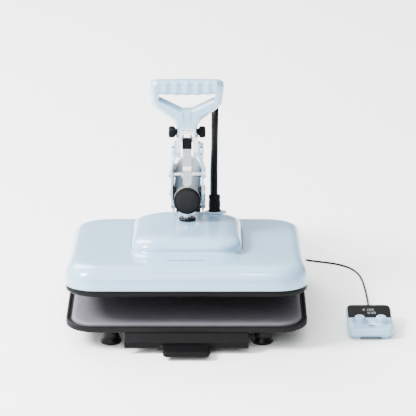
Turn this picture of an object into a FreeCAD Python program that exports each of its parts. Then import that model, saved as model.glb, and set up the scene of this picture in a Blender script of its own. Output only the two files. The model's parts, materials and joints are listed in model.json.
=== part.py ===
"""Clamshell heat press with a slide-out lower drawer and a corded controller.

Lengths are millimetres. The press is laid out with the arm closed: X to the right, Y from the
front edge of the drawer to the rear, Z up from the table. Parts of the arm are then swung open
about the rear hinge by their Placement, so the model rests with its jaw open.
"""
import FreeCAD, Part
import math
import os
import re
import Sketcher

DIMENSIONS = {
    # table feet and the steel base plate
    "foot_x": 132, "foot_front_y": 45, "foot_rear_y": 478, "foot_radius": 18.5,
    "foot_stem_radius": 14.5, "foot_flat": 4, "foot_cone_top": 17, "stud_radius": 4,
    "base_z": 26, "base_thickness": 4, "base_half_width": 170, "base_front_y": 24,
    "base_rear_y": 560, "base_step_y": 502, "base_tongue_half_width": 86,
    # drawer: black tray, pad, slides and pull
    "tray_half_width": 210, "tray_depth": 400, "tray_radius": 50, "tray_lip_z": 35,
    "tray_floor_z": 38, "tray_floor": 3, "tray_rim_z": 45, "tray_wall": 4,
    "pad_inset": 10, "pad_radius": 42, "pad_top_z": 49.5, "pad_edge_round": 4,
    "slide_x": 158, "slide_half_width": 8, "slide_wall": 1.5, "slide_front_y": 30,
    "slide_length": 360, "slide_gap": 0.5, "slide_lip": 3.5,
    "pull_half_width": 107, "pull_front_y": -12, "pull_top_z": 35, "pull_brow_z": 21,
    "pull_bottom_z": 11, "tab_half_width": 40, "tab_front_y": -45, "tab_bottom_z": 7,
    "tab_thickness": 8, "tab_radius": 10,
    # heated head, closed
    "lid_half_width": 210, "lid_depth": 400, "lid_radius": 57, "lid_split_z": 62,
    "lid_top_z": 103.5, "lid_round": 20, "lid_wall": 3, "bezel_z": 50.5, "bezel_wall": 14,
    "platen_half_width": 190, "platen_z": 49.8, "platen_thickness": 12,
    "platen_radius": 40, "element_width": 8, "element_thickness": 4, "element_rows": 8,
    "element_half_width": 160, "insulation_z": 66.2, "insulation_thickness": 11.8,
    "backing_thickness": 3, "backing_half_width": 130, "hump_half_width": 98,
    "hump_front_y": 82, "hump_rear_y": 322, "hump_top_z": 132.5, "hump_radius": 30,
    "hump_round": 14, "hump_wall": 3,
    # pressure screw between the arm and the head
    "screw_y": 235, "screw_radius": 7, "screw_bottom_z": 84, "screw_top_z": 164,
    "running_gap": 0.05, "bush_radius": 11, "bush_top_z": 120, "nut_radius": 15.5,
    "nut_z": 132.8, "nut_height": 5.8, "saddle_half_width": 14.5, "saddle_half_depth": 13,
    "saddle_bottom_z": 146.5,
    # arm tube and its rear hinge
    "hinge_y": 480, "hinge_z": 172.5, "open_angle": 6.2, "tube_radius": 24, "tube_wall": 3,
    "tube_front_y": 217, "tube_rear_y": 500, "end_cap_thickness": 6, "end_cap_radius": 24.2,
    "hinge_pin_radius": 8, "hinge_boss_radius": 13, "hinge_boss_half_length": 25.7,
    # frame that carries the hinge and the lever
    "plate_inner_x": 26, "plate_thickness": 3, "neck_inner_x": 19.5, "neck_from_z": 259,
    "neck_to_z": 281, "column_half_width": 23, "column_front_y": 450, "column_rear_y": 505,
    "column_top_z": 140, "column_wall": 3, "bolt_radius": 4, "bolt_head_radius": 6.5,
    "bolt_head": 3.2, "spacer_rod_y": 262, "spacer_rod_z": 236, "spacer_rod_radius": 4,
    "guide_bolt_y": 250, "guide_bolt_z": 206,
    # lever, crank and link
    "lever_y": 240, "lever_z": 288, "lever_pin_radius": 5, "crank_radius": 20,
    "crank_angle": 8, "lever_sweep": 117.7, "crank_pin_radius": 4, "lever_inner_x": 11,
    "lever_outer_x": 19, "link_half_width": 7.5, "link_wall": 2, "lug_y": 226, "lug_z": 215.5,
    "lug_half_width": 4.5, "link_pin_radius": 3.5, "handle_half_width": 65.5,
    "handle_height": 131, "handle_half_depth": 13, "clamp_z": 33.3, "clamp_radius": 10,
    "clamp_stud_radius": 2.5, "clamp_back": 5, "clamp_length": 14,
    # gas spring under the arm
    "spring_y": 428, "spring_foot_z": 60, "spring_eye_z": 140, "spring_radius": 9,
    "spring_rod_radius": 4, "spring_pin_radius": 3, "spring_cylinder": 48, "spring_slack": 1,
    # rear electronics box
    "box_half_width": 80, "box_front_y": 507, "box_rear_y": 560, "box_split_z": 51,
    "box_top_z": 60, "box_wall": 2, "inlet_x": -45, "switch_x": -8, "socket_z": 41.2,
    "rocker_reach": 2.75,
    "gland_y": 530, "gland_z": 44, "rear_gland_x": 47, "rear_gland_y": 520.5,
    # conduit and its gland on the head
    "conduit_radius": 6.5, "conduit_x": 49, "conduit_y": 296, "conduit_gland_top_z": 166,
    # controller and its cord
    "controller_x": 322, "controller_half_width": 40, "controller_front_y": 52,
    "controller_rear_y": 149, "controller_z": 2, "controller_front_z": 20,
    "controller_rear_z": 30, "controller_radius": 9, "controller_wall": 2,
    "controller_floor": 2, "screen_front_y": 98, "screen_thickness": 1.2, "knob_spread": 18.7,
    "knob_y": 80, "knob_radius": 10.5, "knob_height": 12, "button_y": 63,
    "button_half_width": 7.5, "button_travel": 1.5, "cord_radius": 1.7, "cord_exit_z": 12,
}

CORD_ROUTE = [
    (92, 530, 44), (110, 530, 44), (127, 527, 33), (140, 520, 17), (156, 510, 5),
    (176, 494, 1.8), (198, 472, 1.8), (224, 453, 1.8), (255, 443, 1.8), (284, 431, 1.8),
    (306, 410, 1.8), (319, 380, 1.8), (324, 342, 1.8), (326, 300, 1.8), (327, 259, 1.8),
    (327, 229, 2.4), (326.5, 208, 6.6), (326, 188, 12), (326, 169, 12),
]
CONDUIT_ROUTE = [
    (49, 293.8, 162.1), (49, 298.3, 203.4), (49.2, 303.2, 240), (49.5, 310.5, 273),
    (49.7, 331, 305), (50, 365, 325.5), (50, 406, 325), (49.9, 440, 304), (49.7, 460, 270),
    (49.4, 464, 235), (49, 471, 211), (48.5, 483, 190), (48, 498, 171), (47.5, 510.5, 151),
    (47.1, 518, 128), (47, 520.5, 100), (47, 520.5, 74),
]

doc = FreeCAD.newDocument("heat_press")
sheet = doc.addObject("Spreadsheet::Sheet", "sizes")
for row, (alias, number) in enumerate(DIMENSIONS.items(), start=1):
    sheet.set(f"A{row}", alias)
    sheet.set(f"B{row}", str(number))
    sheet.setAlias(f"B{row}", alias)
doc.recompute()

ALIASES = re.compile(r"\b(" + "|".join(DIMENSIONS) + r")\b")
PARTS = []


def size(alias):
    """A driving dimension as the sheet holds it."""
    return float(sheet.get(alias))


def formula(text):
    """The sheet formula for a size written in aliases, such as 'lid_top_z - lid_wall'."""
    return ALIASES.sub(r"sizes.\1", str(text))


def bind(feature, **formulas):
    """Bind properties of a feature to formulas; an underscore in a name stands for a dot."""
    for name, text in formulas.items():
        feature.setExpression(name.replace("_", "."), formula(text))


def put(feature, x, y, z):
    """Bind a feature's position to formulas."""
    bind(feature, Placement_Base_x=x, Placement_Base_y=y, Placement_Base_z=z)


# ---------------------------------------------------------------- primitives and booleans

def box(name, x, y, z):
    """A block between the low and high formulas of each axis."""
    block = doc.addObject("Part::Box", name)
    put(block, x[0], y[0], z[0])
    bind(block, Length=f"({x[1]}) - ({x[0]})", Width=f"({y[1]}) - ({y[0]})",
         Height=f"({z[1]}) - ({z[0]})")
    return block


TURN = {
    "x": FreeCAD.Rotation(FreeCAD.Vector(0, 1, 0), 90),
    "y": FreeCAD.Rotation(FreeCAD.Vector(1, 0, 0), -90),
    "z": FreeCAD.Rotation(),
}


def rod(name, along, at, radius, length):
    """A cylinder that starts at a point and runs along +X, +Y or +Z."""
    cylinder = doc.addObject("Part::Cylinder", name)
    cylinder.Placement = FreeCAD.Placement(FreeCAD.Vector(), TURN[along])
    put(cylinder, *at)
    bind(cylinder, Radius=radius, Height=length)
    return cylinder


def cone(name, along, at, start_radius, end_radius, length):
    """A cone or taper that starts at a point and runs along +X, +Y or +Z."""
    taper = doc.addObject("Part::Cone", name)
    taper.Placement = FreeCAD.Placement(FreeCAD.Vector(), TURN[along])
    put(taper, *at)
    bind(taper, Radius1=start_radius, Radius2=end_radius, Height=length)
    return taper


def fuse(name, *pieces):
    union = doc.addObject("Part::MultiFuse", name)
    union.Shapes = list(pieces)
    union.Refine = True
    return union


def cut(name, base, *tools):
    """The base without the tools."""
    difference = doc.addObject("Part::Cut", name)
    difference.Base = base
    difference.Tool = tools[0] if len(tools) == 1 else fuse(name + "_tools", *tools)
    difference.Refine = True
    return difference


def common(name, first, second):
    shared = doc.addObject("Part::Common", name)
    shared.Base = first
    shared.Tool = second
    return shared


def group(name, pieces):
    """Several identical fasteners as one node of separate solids."""
    together = doc.addObject("Part::Compound", name)
    together.Links = pieces
    return together


# ---------------------------------------------------------------- sketches and bodies

def origin_plane(body, role):
    for feature in body.Origin.OriginFeatures:
        if feature.Role == role:
            return feature
    raise ValueError(role)


def sketch_on(body, name, role, offset):
    """A sketch on one of the body's own planes, moved along its normal by a formula."""
    drawing = body.newObject("Sketcher::SketchObject", name)
    drawing.AttachmentSupport = [(origin_plane(body, role), "")]
    drawing.MapMode = "FlatFace"
    drawing.setExpression("AttachmentOffset.Base.z", formula(offset))
    return drawing


def pin_point(drawing, line, end, u, v):
    """Hold one end of a line at formulas measured from the sketch's origin."""
    for kind, text in (("DistanceX", u), ("DistanceY", v)):
        now = getattr(drawing.Geometry[line], "StartPoint" if end == 1 else "EndPoint")
        value = now.x if kind == "DistanceX" else now.y
        index = drawing.addConstraint(Sketcher.Constraint(kind, -1, 1, line, end, value))
        drawing.setExpression(f"Constraints[{index}]", formula(text))


def evaluate(text):
    """The number that a size formula has now, for a sketch's first drawing."""
    return float(sheet.evalExpression(formula(text)))


def draw_polygon(drawing, points):
    """A closed outline of straight lines, each corner held by two formulas."""
    places = [FreeCAD.Vector(evaluate(u), evaluate(v), 0) for u, v in points]
    first = drawing.GeometryCount
    for i, place in enumerate(places):
        following = places[(i + 1) % len(places)]
        drawing.addGeometry(Part.LineSegment(place, following))
    for i in range(len(places)):
        line = first + i
        next_line = first + (i + 1) % len(places)
        drawing.addConstraint(Sketcher.Constraint("Coincident", line, 2, next_line, 1))
        pin_point(drawing, line, 1, *points[i])


def draw_rounded(drawing, x, y, radius):
    """A rectangle with round corners between low and high formulas."""
    west, east = evaluate(x[0]), evaluate(x[1])
    south, north = evaluate(y[0]), evaluate(y[1])
    r = evaluate(radius)
    corners = [(east - r, south + r, -90), (east - r, north - r, 0),
               (west + r, north - r, 90), (west + r, south + r, 180)]
    arcs = []
    for u, v, start in corners:
        circle = Part.Circle(FreeCAD.Vector(u, v, 0), FreeCAD.Vector(0, 0, 1), r)
        begin, end = math.radians(start), math.radians(start + 90)
        arcs.append(drawing.addGeometry(Part.ArcOfCircle(circle, begin, end)))
    lines = []
    for i in range(4):
        tail = drawing.Geometry[arcs[i]].EndPoint
        head = drawing.Geometry[arcs[(i + 1) % 4]].StartPoint
        lines.append(drawing.addGeometry(Part.LineSegment(tail, head)))
    for i in range(4):
        drawing.addConstraint(Sketcher.Constraint("Tangent", arcs[i], 2, lines[i], 1))
        drawing.addConstraint(
            Sketcher.Constraint("Tangent", lines[i], 2, arcs[(i + 1) % 4], 1))
    for i in range(3):
        drawing.addConstraint(Sketcher.Constraint("Equal", arcs[i], arcs[i + 1]))
    drawing.addConstraint(Sketcher.Constraint("Vertical", lines[0]))
    drawing.addConstraint(Sketcher.Constraint("Horizontal", lines[1]))
    index = drawing.addConstraint(Sketcher.Constraint("Radius", arcs[0], r))
    drawing.setExpression(f"Constraints[{index}]", formula(radius))
    sides = [("DistanceX", lines[0], x[1], east), ("DistanceY", lines[1], y[1], north),
             ("DistanceX", lines[2], x[0], west), ("DistanceY", lines[3], y[0], south)]
    for kind, line, text, value in sides:
        index = drawing.addConstraint(Sketcher.Constraint(kind, -1, 1, line, 1, value))
        drawing.setExpression(f"Constraints[{index}]", formula(text))


def pad(body, drawing, length):
    solid = body.newObject("PartDesign::Pad", drawing.Name + "_pad")
    solid.Profile = drawing
    solid.setExpression("Length", formula(length))
    return solid


def pocket(body, drawing, depth, upward):
    """Remove a sketch's outline to a depth, towards +Z when upward and towards -Z when not."""
    before = body.Shape.Volume
    hollow = body.newObject("PartDesign::Pocket", drawing.Name + "_pocket")
    hollow.Profile = drawing
    hollow.Reversed = upward
    hollow.setExpression("Length", formula(depth))
    doc.recompute()
    if body.Shape.Volume > before - 1:
        raise ValueError(f"{drawing.Name} removes nothing")
    return hollow


def profile_plate(name, points, start, thickness):
    """A plate with a YZ outline that starts at X = start."""
    body = doc.addObject("PartDesign::Body", name)
    drawing = sketch_on(body, name + "_outline", "YZ_Plane", start)
    draw_polygon(drawing, points)
    pad(body, drawing, thickness)
    return body


def face_plate(name, points, front_y, thickness):
    """A plate with an XZ outline between Y = front_y and front_y + thickness."""
    body = doc.addObject("PartDesign::Body", name)
    drawing = sketch_on(body, name + "_outline", "XZ_Plane", f"-({front_y}) - ({thickness})")
    draw_polygon(drawing, points)
    pad(body, drawing, thickness)
    return body


def rounded_slab(name, x, y, z, radius):
    """A slab with rounded corners in plan."""
    body = doc.addObject("PartDesign::Body", name)
    drawing = sketch_on(body, name + "_plan", "XY_Plane", z[0])
    draw_rounded(drawing, x, y, radius)
    pad(body, drawing, f"({z[1]}) - ({z[0]})")
    return body


def rounded_pocket(body, name, x, y, z, radius):
    """A pocket with rounded corners from z[0] up to z[1]."""
    doc.recompute()
    drawing = sketch_on(body, name, "XY_Plane", z[0])
    draw_rounded(drawing, x, y, radius)
    pocket(body, drawing, f"({z[1]}) - ({z[0]})", True)


def round_top(body, radius):
    """Round the upper edges of a body's last feature."""
    doc.recompute()
    top = body.Shape.BoundBox.ZMax
    names = []
    for i, edge in enumerate(body.Shape.Edges, start=1):
        box_of_edge = edge.BoundBox
        if box_of_edge.ZMin > top - 0.01:
            names.append(f"Edge{i}")
    base = body.Tip
    rounding = body.newObject("PartDesign::Fillet", body.Name + "_rounding")
    rounding.Base = (base, names)
    rounding.setExpression("Radius", formula(radius))
    doc.recompute()


def centred(half_width):
    """The low and high formulas of a width about X = 0."""
    return (f"-({half_width})", f"{half_width}")


# ---------------------------------------------------------------- places of the bodies

ORIGIN = FreeCAD.Vector(
    (size("controller_x") + size("controller_half_width") - size("tray_half_width")) / 2,
    (size("box_rear_y") + size("rocker_reach") + size("tab_front_y")) / 2,
    0,
)
HINGE = FreeCAD.Vector(0, size("hinge_y"), size("hinge_z"))
AT_REST = FreeCAD.Placement(-ORIGIN, FreeCAD.Rotation())
ACROSS = FreeCAD.Vector(1, 0, 0)


def turned_about(centre, degrees):
    """The placement that turns a part about an axis through centre along X."""
    return FreeCAD.Placement(FreeCAD.Vector(), FreeCAD.Rotation(ACROSS, degrees), centre)


ON_ARM = AT_REST.multiply(turned_about(HINGE, -size("open_angle")))


def keep(label, feature, placement=AT_REST):
    """Name a sub-part and put it where it belongs at rest."""
    if feature.TypeId in ("Part::Box", "Part::Cylinder"):
        feature = group(label + "_piece", [feature])
    for other in doc.Objects:
        if other.Label == label and other is not feature:
            other.Label = label + "_stage"
    feature.Placement = placement
    feature.Label = label
    PARTS.append(feature)


# ---------------------------------------------------------------- base

def make_base():
    plate_z = ("base_z", "base_z + base_thickness")
    floor = box("base_floor", centred("base_half_width"), ("base_front_y", "base_step_y"),
                plate_z)
    tongue = box("base_tongue", centred("base_tongue_half_width"),
                 ("base_step_y - 1", "base_rear_y"), plate_z)
    studs, feet, stud_holes = [], [], []
    for i, (side, end) in enumerate([(-1, "front"), (1, "front"), (-1, "rear"), (1, "rear")]):
        x, y = f"{side} * foot_x", f"foot_{end}_y"
        flat = rod(f"foot_flat_{i}", "z", (x, y, 0), "foot_radius", "foot_flat")
        taper = cone(f"foot_taper_{i}", "z", (x, y, "foot_flat"), "foot_radius",
                     "foot_stem_radius", "foot_cone_top - foot_flat")
        stem = rod(f"foot_stem_{i}", "z", (x, y, "foot_cone_top"), "foot_stem_radius",
                   "base_z - foot_cone_top")
        bore = rod(f"foot_bore_{i}", "z", (x, y, 8), "stud_radius", "base_z")
        feet.append(cut(f"foot_{i}", fuse(f"foot_solid_{i}", flat, taper, stem), bore))
        shank = rod(f"stud_shank_{i}", "z", (x, y, 8), "stud_radius", "tray_lip_z - 8.4")
        jam_nut = rod(f"stud_nut_{i}", "z", (x, y, "base_z + base_thickness"), 6.5, 3.6)
        studs.append(fuse(f"stud_{i}", shank, jam_nut))
        stud_holes.append(rod(f"stud_hole_{i}", "z", (x, y, "base_z - 1"), "stud_radius",
                              "base_thickness + 2"))
    foot = ears("spring_foot", "spring_y", "spring_foot_z", 6, "base_z + base_thickness")
    keep("base_plate", cut("base_plate_drilled", fuse("base_welded", floor, tongue, foot),
                           *stud_holes))
    keep("rubber_feet", group("rubber_feet", feet))
    keep("foot_studs", group("foot_studs", studs))


def rail_pair(name, profile, y_start, length):
    """One sliding rail on each side of the drawer, from boxes given as offsets from slide_x."""
    rails = []
    for side in (-1, 1):
        boxes = []
        for i, (x, z) in enumerate(profile):
            west, east = f"{side} * slide_x + ({x[0]})", f"{side} * slide_x + ({x[1]})"
            boxes.append(box(f"{name}_{side + 1}_{i}", (west, east),
                             (y_start, f"{y_start} + {length}"), z))
        rails.append(fuse(f"{name}_{side + 1}", *boxes))
    return group(name, rails)


def make_slides():
    floor_z = "base_z + base_thickness"
    top_z = "tray_floor_z - slide_gap"
    edge = "slide_half_width"
    outer = [
        ((f"-{edge}", edge), (floor_z, f"{floor_z} + slide_wall")),
        ((f"-{edge}", f"-{edge} + slide_wall"), (floor_z, top_z)),
        ((f"{edge} - slide_wall", edge), (floor_z, top_z)),
        ((f"-{edge}", f"-{edge} + slide_lip"), (f"{top_z} - slide_wall", top_z)),
        ((f"{edge} - slide_lip", edge), (f"{top_z} - slide_wall", top_z)),
    ]
    keep("outer_slide_rails", rail_pair("outer_rail", outer, "slide_front_y", "slide_length"))
    foot = f"{edge} - slide_wall - slide_gap"
    stem = f"{edge} - slide_lip - slide_gap"
    inner = [
        ((f"-({foot})", foot), (f"{floor_z} + slide_wall + slide_gap",
                                f"{top_z} - slide_wall - slide_gap")),
        ((f"-({stem})", stem), (f"{floor_z} + slide_wall + slide_gap", "tray_floor_z")),
    ]
    keep("inner_slide_rails", rail_pair("inner_rail", inner, "slide_front_y", "slide_length"))


def make_column():
    outside = box("column_outside", centred("column_half_width"),
                  ("column_front_y", "column_rear_y"),
                  ("base_z + base_thickness", "column_top_z"))
    inside = box("column_inside", centred("column_half_width - column_wall"),
                 ("column_front_y + column_wall", "column_rear_y - column_wall"),
                 ("base_z + base_thickness + column_wall", "column_top_z - column_wall"))
    holes = [rod(f"column_hole_{i}", "x", ("-column_half_width - 1", y, z), "bolt_radius",
                 "2 * column_half_width + 2") for i, (y, z) in enumerate(COLUMN_BOLTS)]
    keep("rear_column", cut("rear_column", outside, inside, *holes))


COLUMN_BOLTS = [(462, 110), (494, 110), (462, 132), (494, 132)]
PLATE_OUTLINE = [
    (226, 198), (226, 300), (233, 304), (254, 302), (505, 215), (505, 98), (450, 98),
    (450, 146), (420, 161), (262, 192),
]


def make_side_plate(name, side):
    """One cheek of the frame; its upper front end steps inwards to carry the lever."""
    low, high = "plate_inner_x", "plate_inner_x + plate_thickness"
    neck_low, neck_high = "neck_inner_x", "neck_inner_x + plate_thickness"
    section = [(low, 90), (high, 90), (high, "neck_from_z"), (neck_high, "neck_to_z"),
               (neck_high, 310), (neck_low, 310), (neck_low, "neck_to_z"),
               (low, "neck_from_z")]
    if side < 0:
        section = [(f"-({x})", z) for x, z in section]
    strip = face_plate(name + "_strip", section, 220, 290)
    outline = profile_plate(name + "_side", PLATE_OUTLINE, -40, 80)
    blank = common(name + "_blank", strip, outline)
    holes = [
        rod(name + "_hinge_hole", "x", (-40, "hinge_y", "hinge_z"), "hinge_pin_radius", 80),
        rod(name + "_lever_hole", "x", (-40, "lever_y", "lever_z"), "lever_pin_radius", 80),
        rod(name + "_rod_hole", "x", (-40, "spacer_rod_y", "spacer_rod_z"),
            "spacer_rod_radius", 80),
        rod(name + "_guide_hole", "x", (-40, "guide_bolt_y", "guide_bolt_z"), 3, 80),
    ]
    for i, (y, z) in enumerate(COLUMN_BOLTS):
        holes.append(rod(f"{name}_column_hole_{i}", "x", (-40, y, z), "bolt_radius", 80))
    keep(name, cut(name + "_drilled", blank, *holes))


def outward(name, side, start, y, z, radius, length):
    """A rod that runs outwards from |X| = start on one side."""
    x = start if side > 0 else f"-({start}) - ({length})"
    return rod(name, "x", (x, y, z), radius, length)


def make_frame_fasteners():
    outer = "plate_inner_x + plate_thickness"
    bolts, pivots = [], []
    for side in (-1, 1):
        for i, (y, z) in enumerate(COLUMN_BOLTS):
            tag = f"{side + 1}_{i}"
            sleeve = outward("bolt_spacer_" + tag, side, "column_half_width", y, z, 7,
                             "plate_inner_x - column_half_width")
            shank = outward("bolt_shank_" + tag, side, "column_half_width - column_wall - 4",
                            y, z, "bolt_radius",
                            f"{outer} - column_half_width + column_wall + 4")
            head = outward("bolt_head_" + tag, side, outer, y, z, "bolt_head_radius",
                           "bolt_head")
            bolts.append(fuse("bolt_" + tag, shank, head, sleeve))
        bolts.append(fuse(
            f"guide_bolt_{side + 1}",
            outward(f"guide_bolt_shank_{side + 1}", side, "plate_inner_x - 1",
                    "guide_bolt_y", "guide_bolt_z", 3, "plate_thickness + 1"),
            outward(f"guide_bolt_head_{side + 1}", side, outer, "guide_bolt_y",
                    "guide_bolt_z", 5.5, 3)))
        pivots.append(fuse(
            f"pivot_{side + 1}",
            outward(f"pivot_shank_{side + 1}", side, "lever_inner_x", "lever_y", "lever_z",
                    "lever_pin_radius", "neck_inner_x + plate_thickness - lever_inner_x"),
            outward(f"pivot_head_{side + 1}", side, "neck_inner_x + plate_thickness",
                    "lever_y", "lever_z", 8, 4.5)))
    keep("plate_bolts", group("plate_bolts", bolts))
    keep("lever_pivot_bolts", group("lever_pivot_bolts", pivots))
    pin = rod("hinge_pin_shank", "x", (f"-({outer}) - 4", "hinge_y", "hinge_z"),
              "hinge_pin_radius", f"2 * ({outer}) + 8")
    keep("hinge_pin", pin)
    cross_rod = rod("spacer_rod_shank", "x", (f"-({outer}) - 5", "spacer_rod_y",
                                              "spacer_rod_z"),
                    "spacer_rod_radius", f"2 * ({outer}) + 10")
    nuts = [outward(f"spacer_rod_nut_{side + 1}", side, outer, "spacer_rod_y",
                    "spacer_rod_z", 6.5, 4) for side in (-1, 1)]
    keep("spacer_rod", fuse("spacer_rod", cross_rod, *nuts))


def make_limit_switch():
    case = box("switch_case", centred(9), (438, "column_front_y"), (116, 138))
    plunger = rod("switch_plunger", "z", (0, 444, 138), 2, 9.5)
    keep("limit_switch", fuse("limit_switch", case, plunger))


# ---------------------------------------------------------------- gas spring

def ears(name, y, z, radius, root_z, inner=5, outer=8):
    """Two ears joined by a pin through them, from a root height to an eye."""
    pieces = []
    for side in (-1, 1):
        x = (inner, outer) if side > 0 else (-outer, -inner)
        low, high = (root_z, z) if evaluate(root_z) < evaluate(z) else (z, root_z)
        pieces.append(box(f"{name}_ear_{side + 1}", x, (f"{y} - {radius}", f"{y} + {radius}"),
                          (low, high)))
        pieces.append(outward(f"{name}_eye_{side + 1}", side, inner, y, z, radius,
                              outer - inner))
    pieces.append(rod(f"{name}_pin", "x", (-outer - 1, y, z), "spring_pin_radius",
                      2 * outer + 2))
    return fuse(name, *pieces)


def spring_axis():
    """The foot pivot, the eye at rest and the length and lean of the gas spring at rest."""
    foot = FreeCAD.Vector(0, size("spring_y"), size("spring_foot_z"))
    closed_eye = FreeCAD.Vector(0, size("spring_y"), size("spring_eye_z"))
    eye = turned_about(HINGE, -size("open_angle")).multVec(closed_eye)
    run = eye.sub(foot)
    return foot, run.Length, math.degrees(math.atan2(-run.y, run.z))


def make_gas_spring():
    """The spring is drawn upright above its foot pivot, then leant to meet the arm."""
    foot, reach, lean = spring_axis()
    leaning = AT_REST.multiply(turned_about(foot, lean))
    upper = ears("spring_upper", "spring_y", "spring_eye_z", 6, "hinge_z - 16.5")
    seat = rod("spring_seat", "y", (0, "spring_y - 20", "hinge_z"), "tube_radius", 40)
    keep("spring_bracket", cut("spring_bracket", upper, seat), ON_ARM)
    y, z = "spring_y", "spring_foot_z"
    eye = rod("spring_foot_eye", "x", (-4, y, z), 6, 8)
    neck = rod("spring_foot_neck", "z", (0, y, f"{z} + 4"), 3.5, 8)
    tube = rod("spring_tube", "z", (0, y, f"{z} + 9"), "spring_radius", "spring_cylinder")
    pin_hole = rod("spring_pin_hole", "x", (-5, y, z), "spring_pin_radius + running_gap", 10)
    bore = rod("spring_bore", "z", (0, y, f"{z} + 20"), "spring_rod_radius + running_gap",
               "spring_cylinder")
    keep("gas_spring_body", cut("gas_spring_body", fuse("spring_case", eye, neck, tube),
                                pin_hole, bore), leaning)
    eye_z = f"spring_foot_z + {reach}"
    shaft = rod("spring_shaft", "z", (0, y, f"{z} + 30"), "spring_rod_radius",
                f"{eye_z} - ({z}) - 30")
    top_eye = rod("spring_top_eye", "x", (-4, y, eye_z), 7, 8)
    slack = rod("spring_slack_hole", "x", (-5, y, eye_z), "spring_pin_radius + spring_slack",
                10)
    keep("gas_spring_rod", cut("gas_spring_rod", fuse("spring_rod", shaft, top_eye), slack),
         leaning)


# ---------------------------------------------------------------- arm

def make_arm():
    length = "tube_rear_y - tube_front_y"
    axis_z = "hinge_z"
    start = (0, "tube_front_y", axis_z)
    outside = rod("tube_outside", "y", start, "tube_radius", length)
    boss = rod("hinge_boss", "x", ("-hinge_boss_half_length", "hinge_y", axis_z),
               "hinge_boss_radius", "2 * hinge_boss_half_length")
    inside = rod("tube_inside", "y", (0, "tube_front_y - 1", axis_z),
                 "tube_radius - tube_wall", "hinge_y - tube_front_y - hinge_boss_radius - 8")
    pin_bore = rod("hinge_bore", "x", (-40, "hinge_y", axis_z),
                   "hinge_pin_radius + running_gap", 80)
    screw_hole = rod("tube_screw_hole", "z", (0, "screw_y", "saddle_bottom_z"),
                     "screw_radius", 26)
    keep("arm_tube", cut("arm_tube", fuse("tube_solid", outside, boss), inside, pin_bore,
                         screw_hole), ON_ARM)
    disc = rod("end_disc", "y", (0, "tube_front_y - end_cap_thickness", axis_z),
               "end_cap_radius", "end_cap_thickness")
    plug = rod("end_plug", "y", (0, "tube_front_y", axis_z), "tube_radius - tube_wall", 8)
    keep("tube_end_cap", fuse("tube_end_cap", disc, plug), ON_ARM)


def make_screw_saddle():
    block = box("saddle_block", centred("saddle_half_width"),
                ("screw_y - saddle_half_depth", "screw_y + saddle_half_depth"),
                ("saddle_bottom_z", "hinge_z - 8"))
    tube = rod("saddle_seat", "y", (0, "tube_front_y", "hinge_z"), "tube_radius", 60)
    hole = rod("saddle_hole", "z", (0, "screw_y", "saddle_bottom_z - 1"), "screw_radius", 40)
    keep("screw_saddle", cut("screw_saddle", block, tube, hole), ON_ARM)
    keep("pressure_screw", rod("pressure_screw", "z", (0, "screw_y", "screw_bottom_z"),
                               "screw_radius", "screw_top_z - screw_bottom_z"), ON_ARM)


def make_link_lug():
    """The lug stands on the tube, its eye set back so that the channel link clears it."""
    low, high = "lug_y - 4.8", "lug_y + 7"
    web = box("lug_web", centred("lug_half_width"), (low, high), ("hinge_z", "lug_z"))
    top = rod("lug_top", "x", ("-lug_half_width", "lug_y + 1.1", "lug_z"), 5.9,
              "2 * lug_half_width")
    tube = rod("lug_seat", "y", (0, "tube_front_y - 10", "hinge_z"), "tube_radius", 60)
    hole = rod("lug_hole", "x", (-6, "lug_y", "lug_z"), "link_pin_radius", 12)
    keep("link_lug", cut("link_lug", fuse("lug_solid", web, top), tube, hole), ON_ARM)
    pin = rod("lug_pin", "x", (-9.5, "lug_y", "lug_z"), "link_pin_radius", 19)
    keep("link_pin", pin, ON_ARM)


# ---------------------------------------------------------------- heated head

def lid_outline(inset):
    """Plan formulas of the head, pulled in by an inset."""
    return ((f"-lid_half_width + ({inset})", f"lid_half_width - ({inset})"),
            (f"{inset}", f"lid_depth - ({inset})"))


def make_lid():
    x, y = lid_outline(0)
    cover = rounded_slab("lid_cover", x, y, ("lid_split_z", "lid_top_z"), "lid_radius")
    round_top(cover, "lid_round")
    for name, inset, top in (("lid_inside", "lid_wall + 2", "lid_top_z - lid_round"),
                             ("lid_crown", "lid_wall + 13", "lid_top_z - lid_wall")):
        x, y = lid_outline(inset)
        rounded_pocket(cover, name, x, y, ("lid_split_z", top), f"lid_radius - {inset}")
    opening = rod("lid_opening", "z", (0, "screw_y", "lid_split_z"), 14, 60)
    wire_hole = rod("lid_wire_hole", "z", ("conduit_x", "conduit_y", "lid_split_z"), 8, 60)
    keep("lid_cover", cut("lid_cover_holed", cover, opening, wire_hole), ON_ARM)
    x, y = lid_outline(1)
    bezel = rounded_slab("lid_bezel", x, y, ("bezel_z", "lid_split_z"), "lid_radius - 1")
    x, y = lid_outline("bezel_wall")
    rounded_pocket(bezel, "bezel_inside", x, y, ("bezel_z", "lid_split_z"),
                   "lid_radius - bezel_wall")
    keep("lid_bezel", bezel, ON_ARM)


def make_hump():
    x = centred("hump_half_width")
    y = ("hump_front_y", "hump_rear_y")
    cover = rounded_slab("centre_cover", x, y, ("lid_top_z", "hump_top_z"), "hump_radius")
    round_top(cover, "hump_round")
    x = centred("hump_half_width - 2 * hump_wall")
    y = ("hump_front_y + 2 * hump_wall", "hump_rear_y - 2 * hump_wall")
    rounded_pocket(cover, "hump_inside", x, y, ("lid_top_z", "hump_top_z - hump_wall - 2"),
                   "hump_radius - 2 * hump_wall")
    opening = rod("hump_opening", "z", (0, "screw_y", "lid_top_z"), "screw_radius + 2", 60)
    wire_hole = rod("hump_wire_hole", "z", ("conduit_x", "conduit_y", "lid_top_z"), 8, 60)
    keep("centre_cover", cut("centre_cover_holed", cover, opening, wire_hole), ON_ARM)


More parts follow.
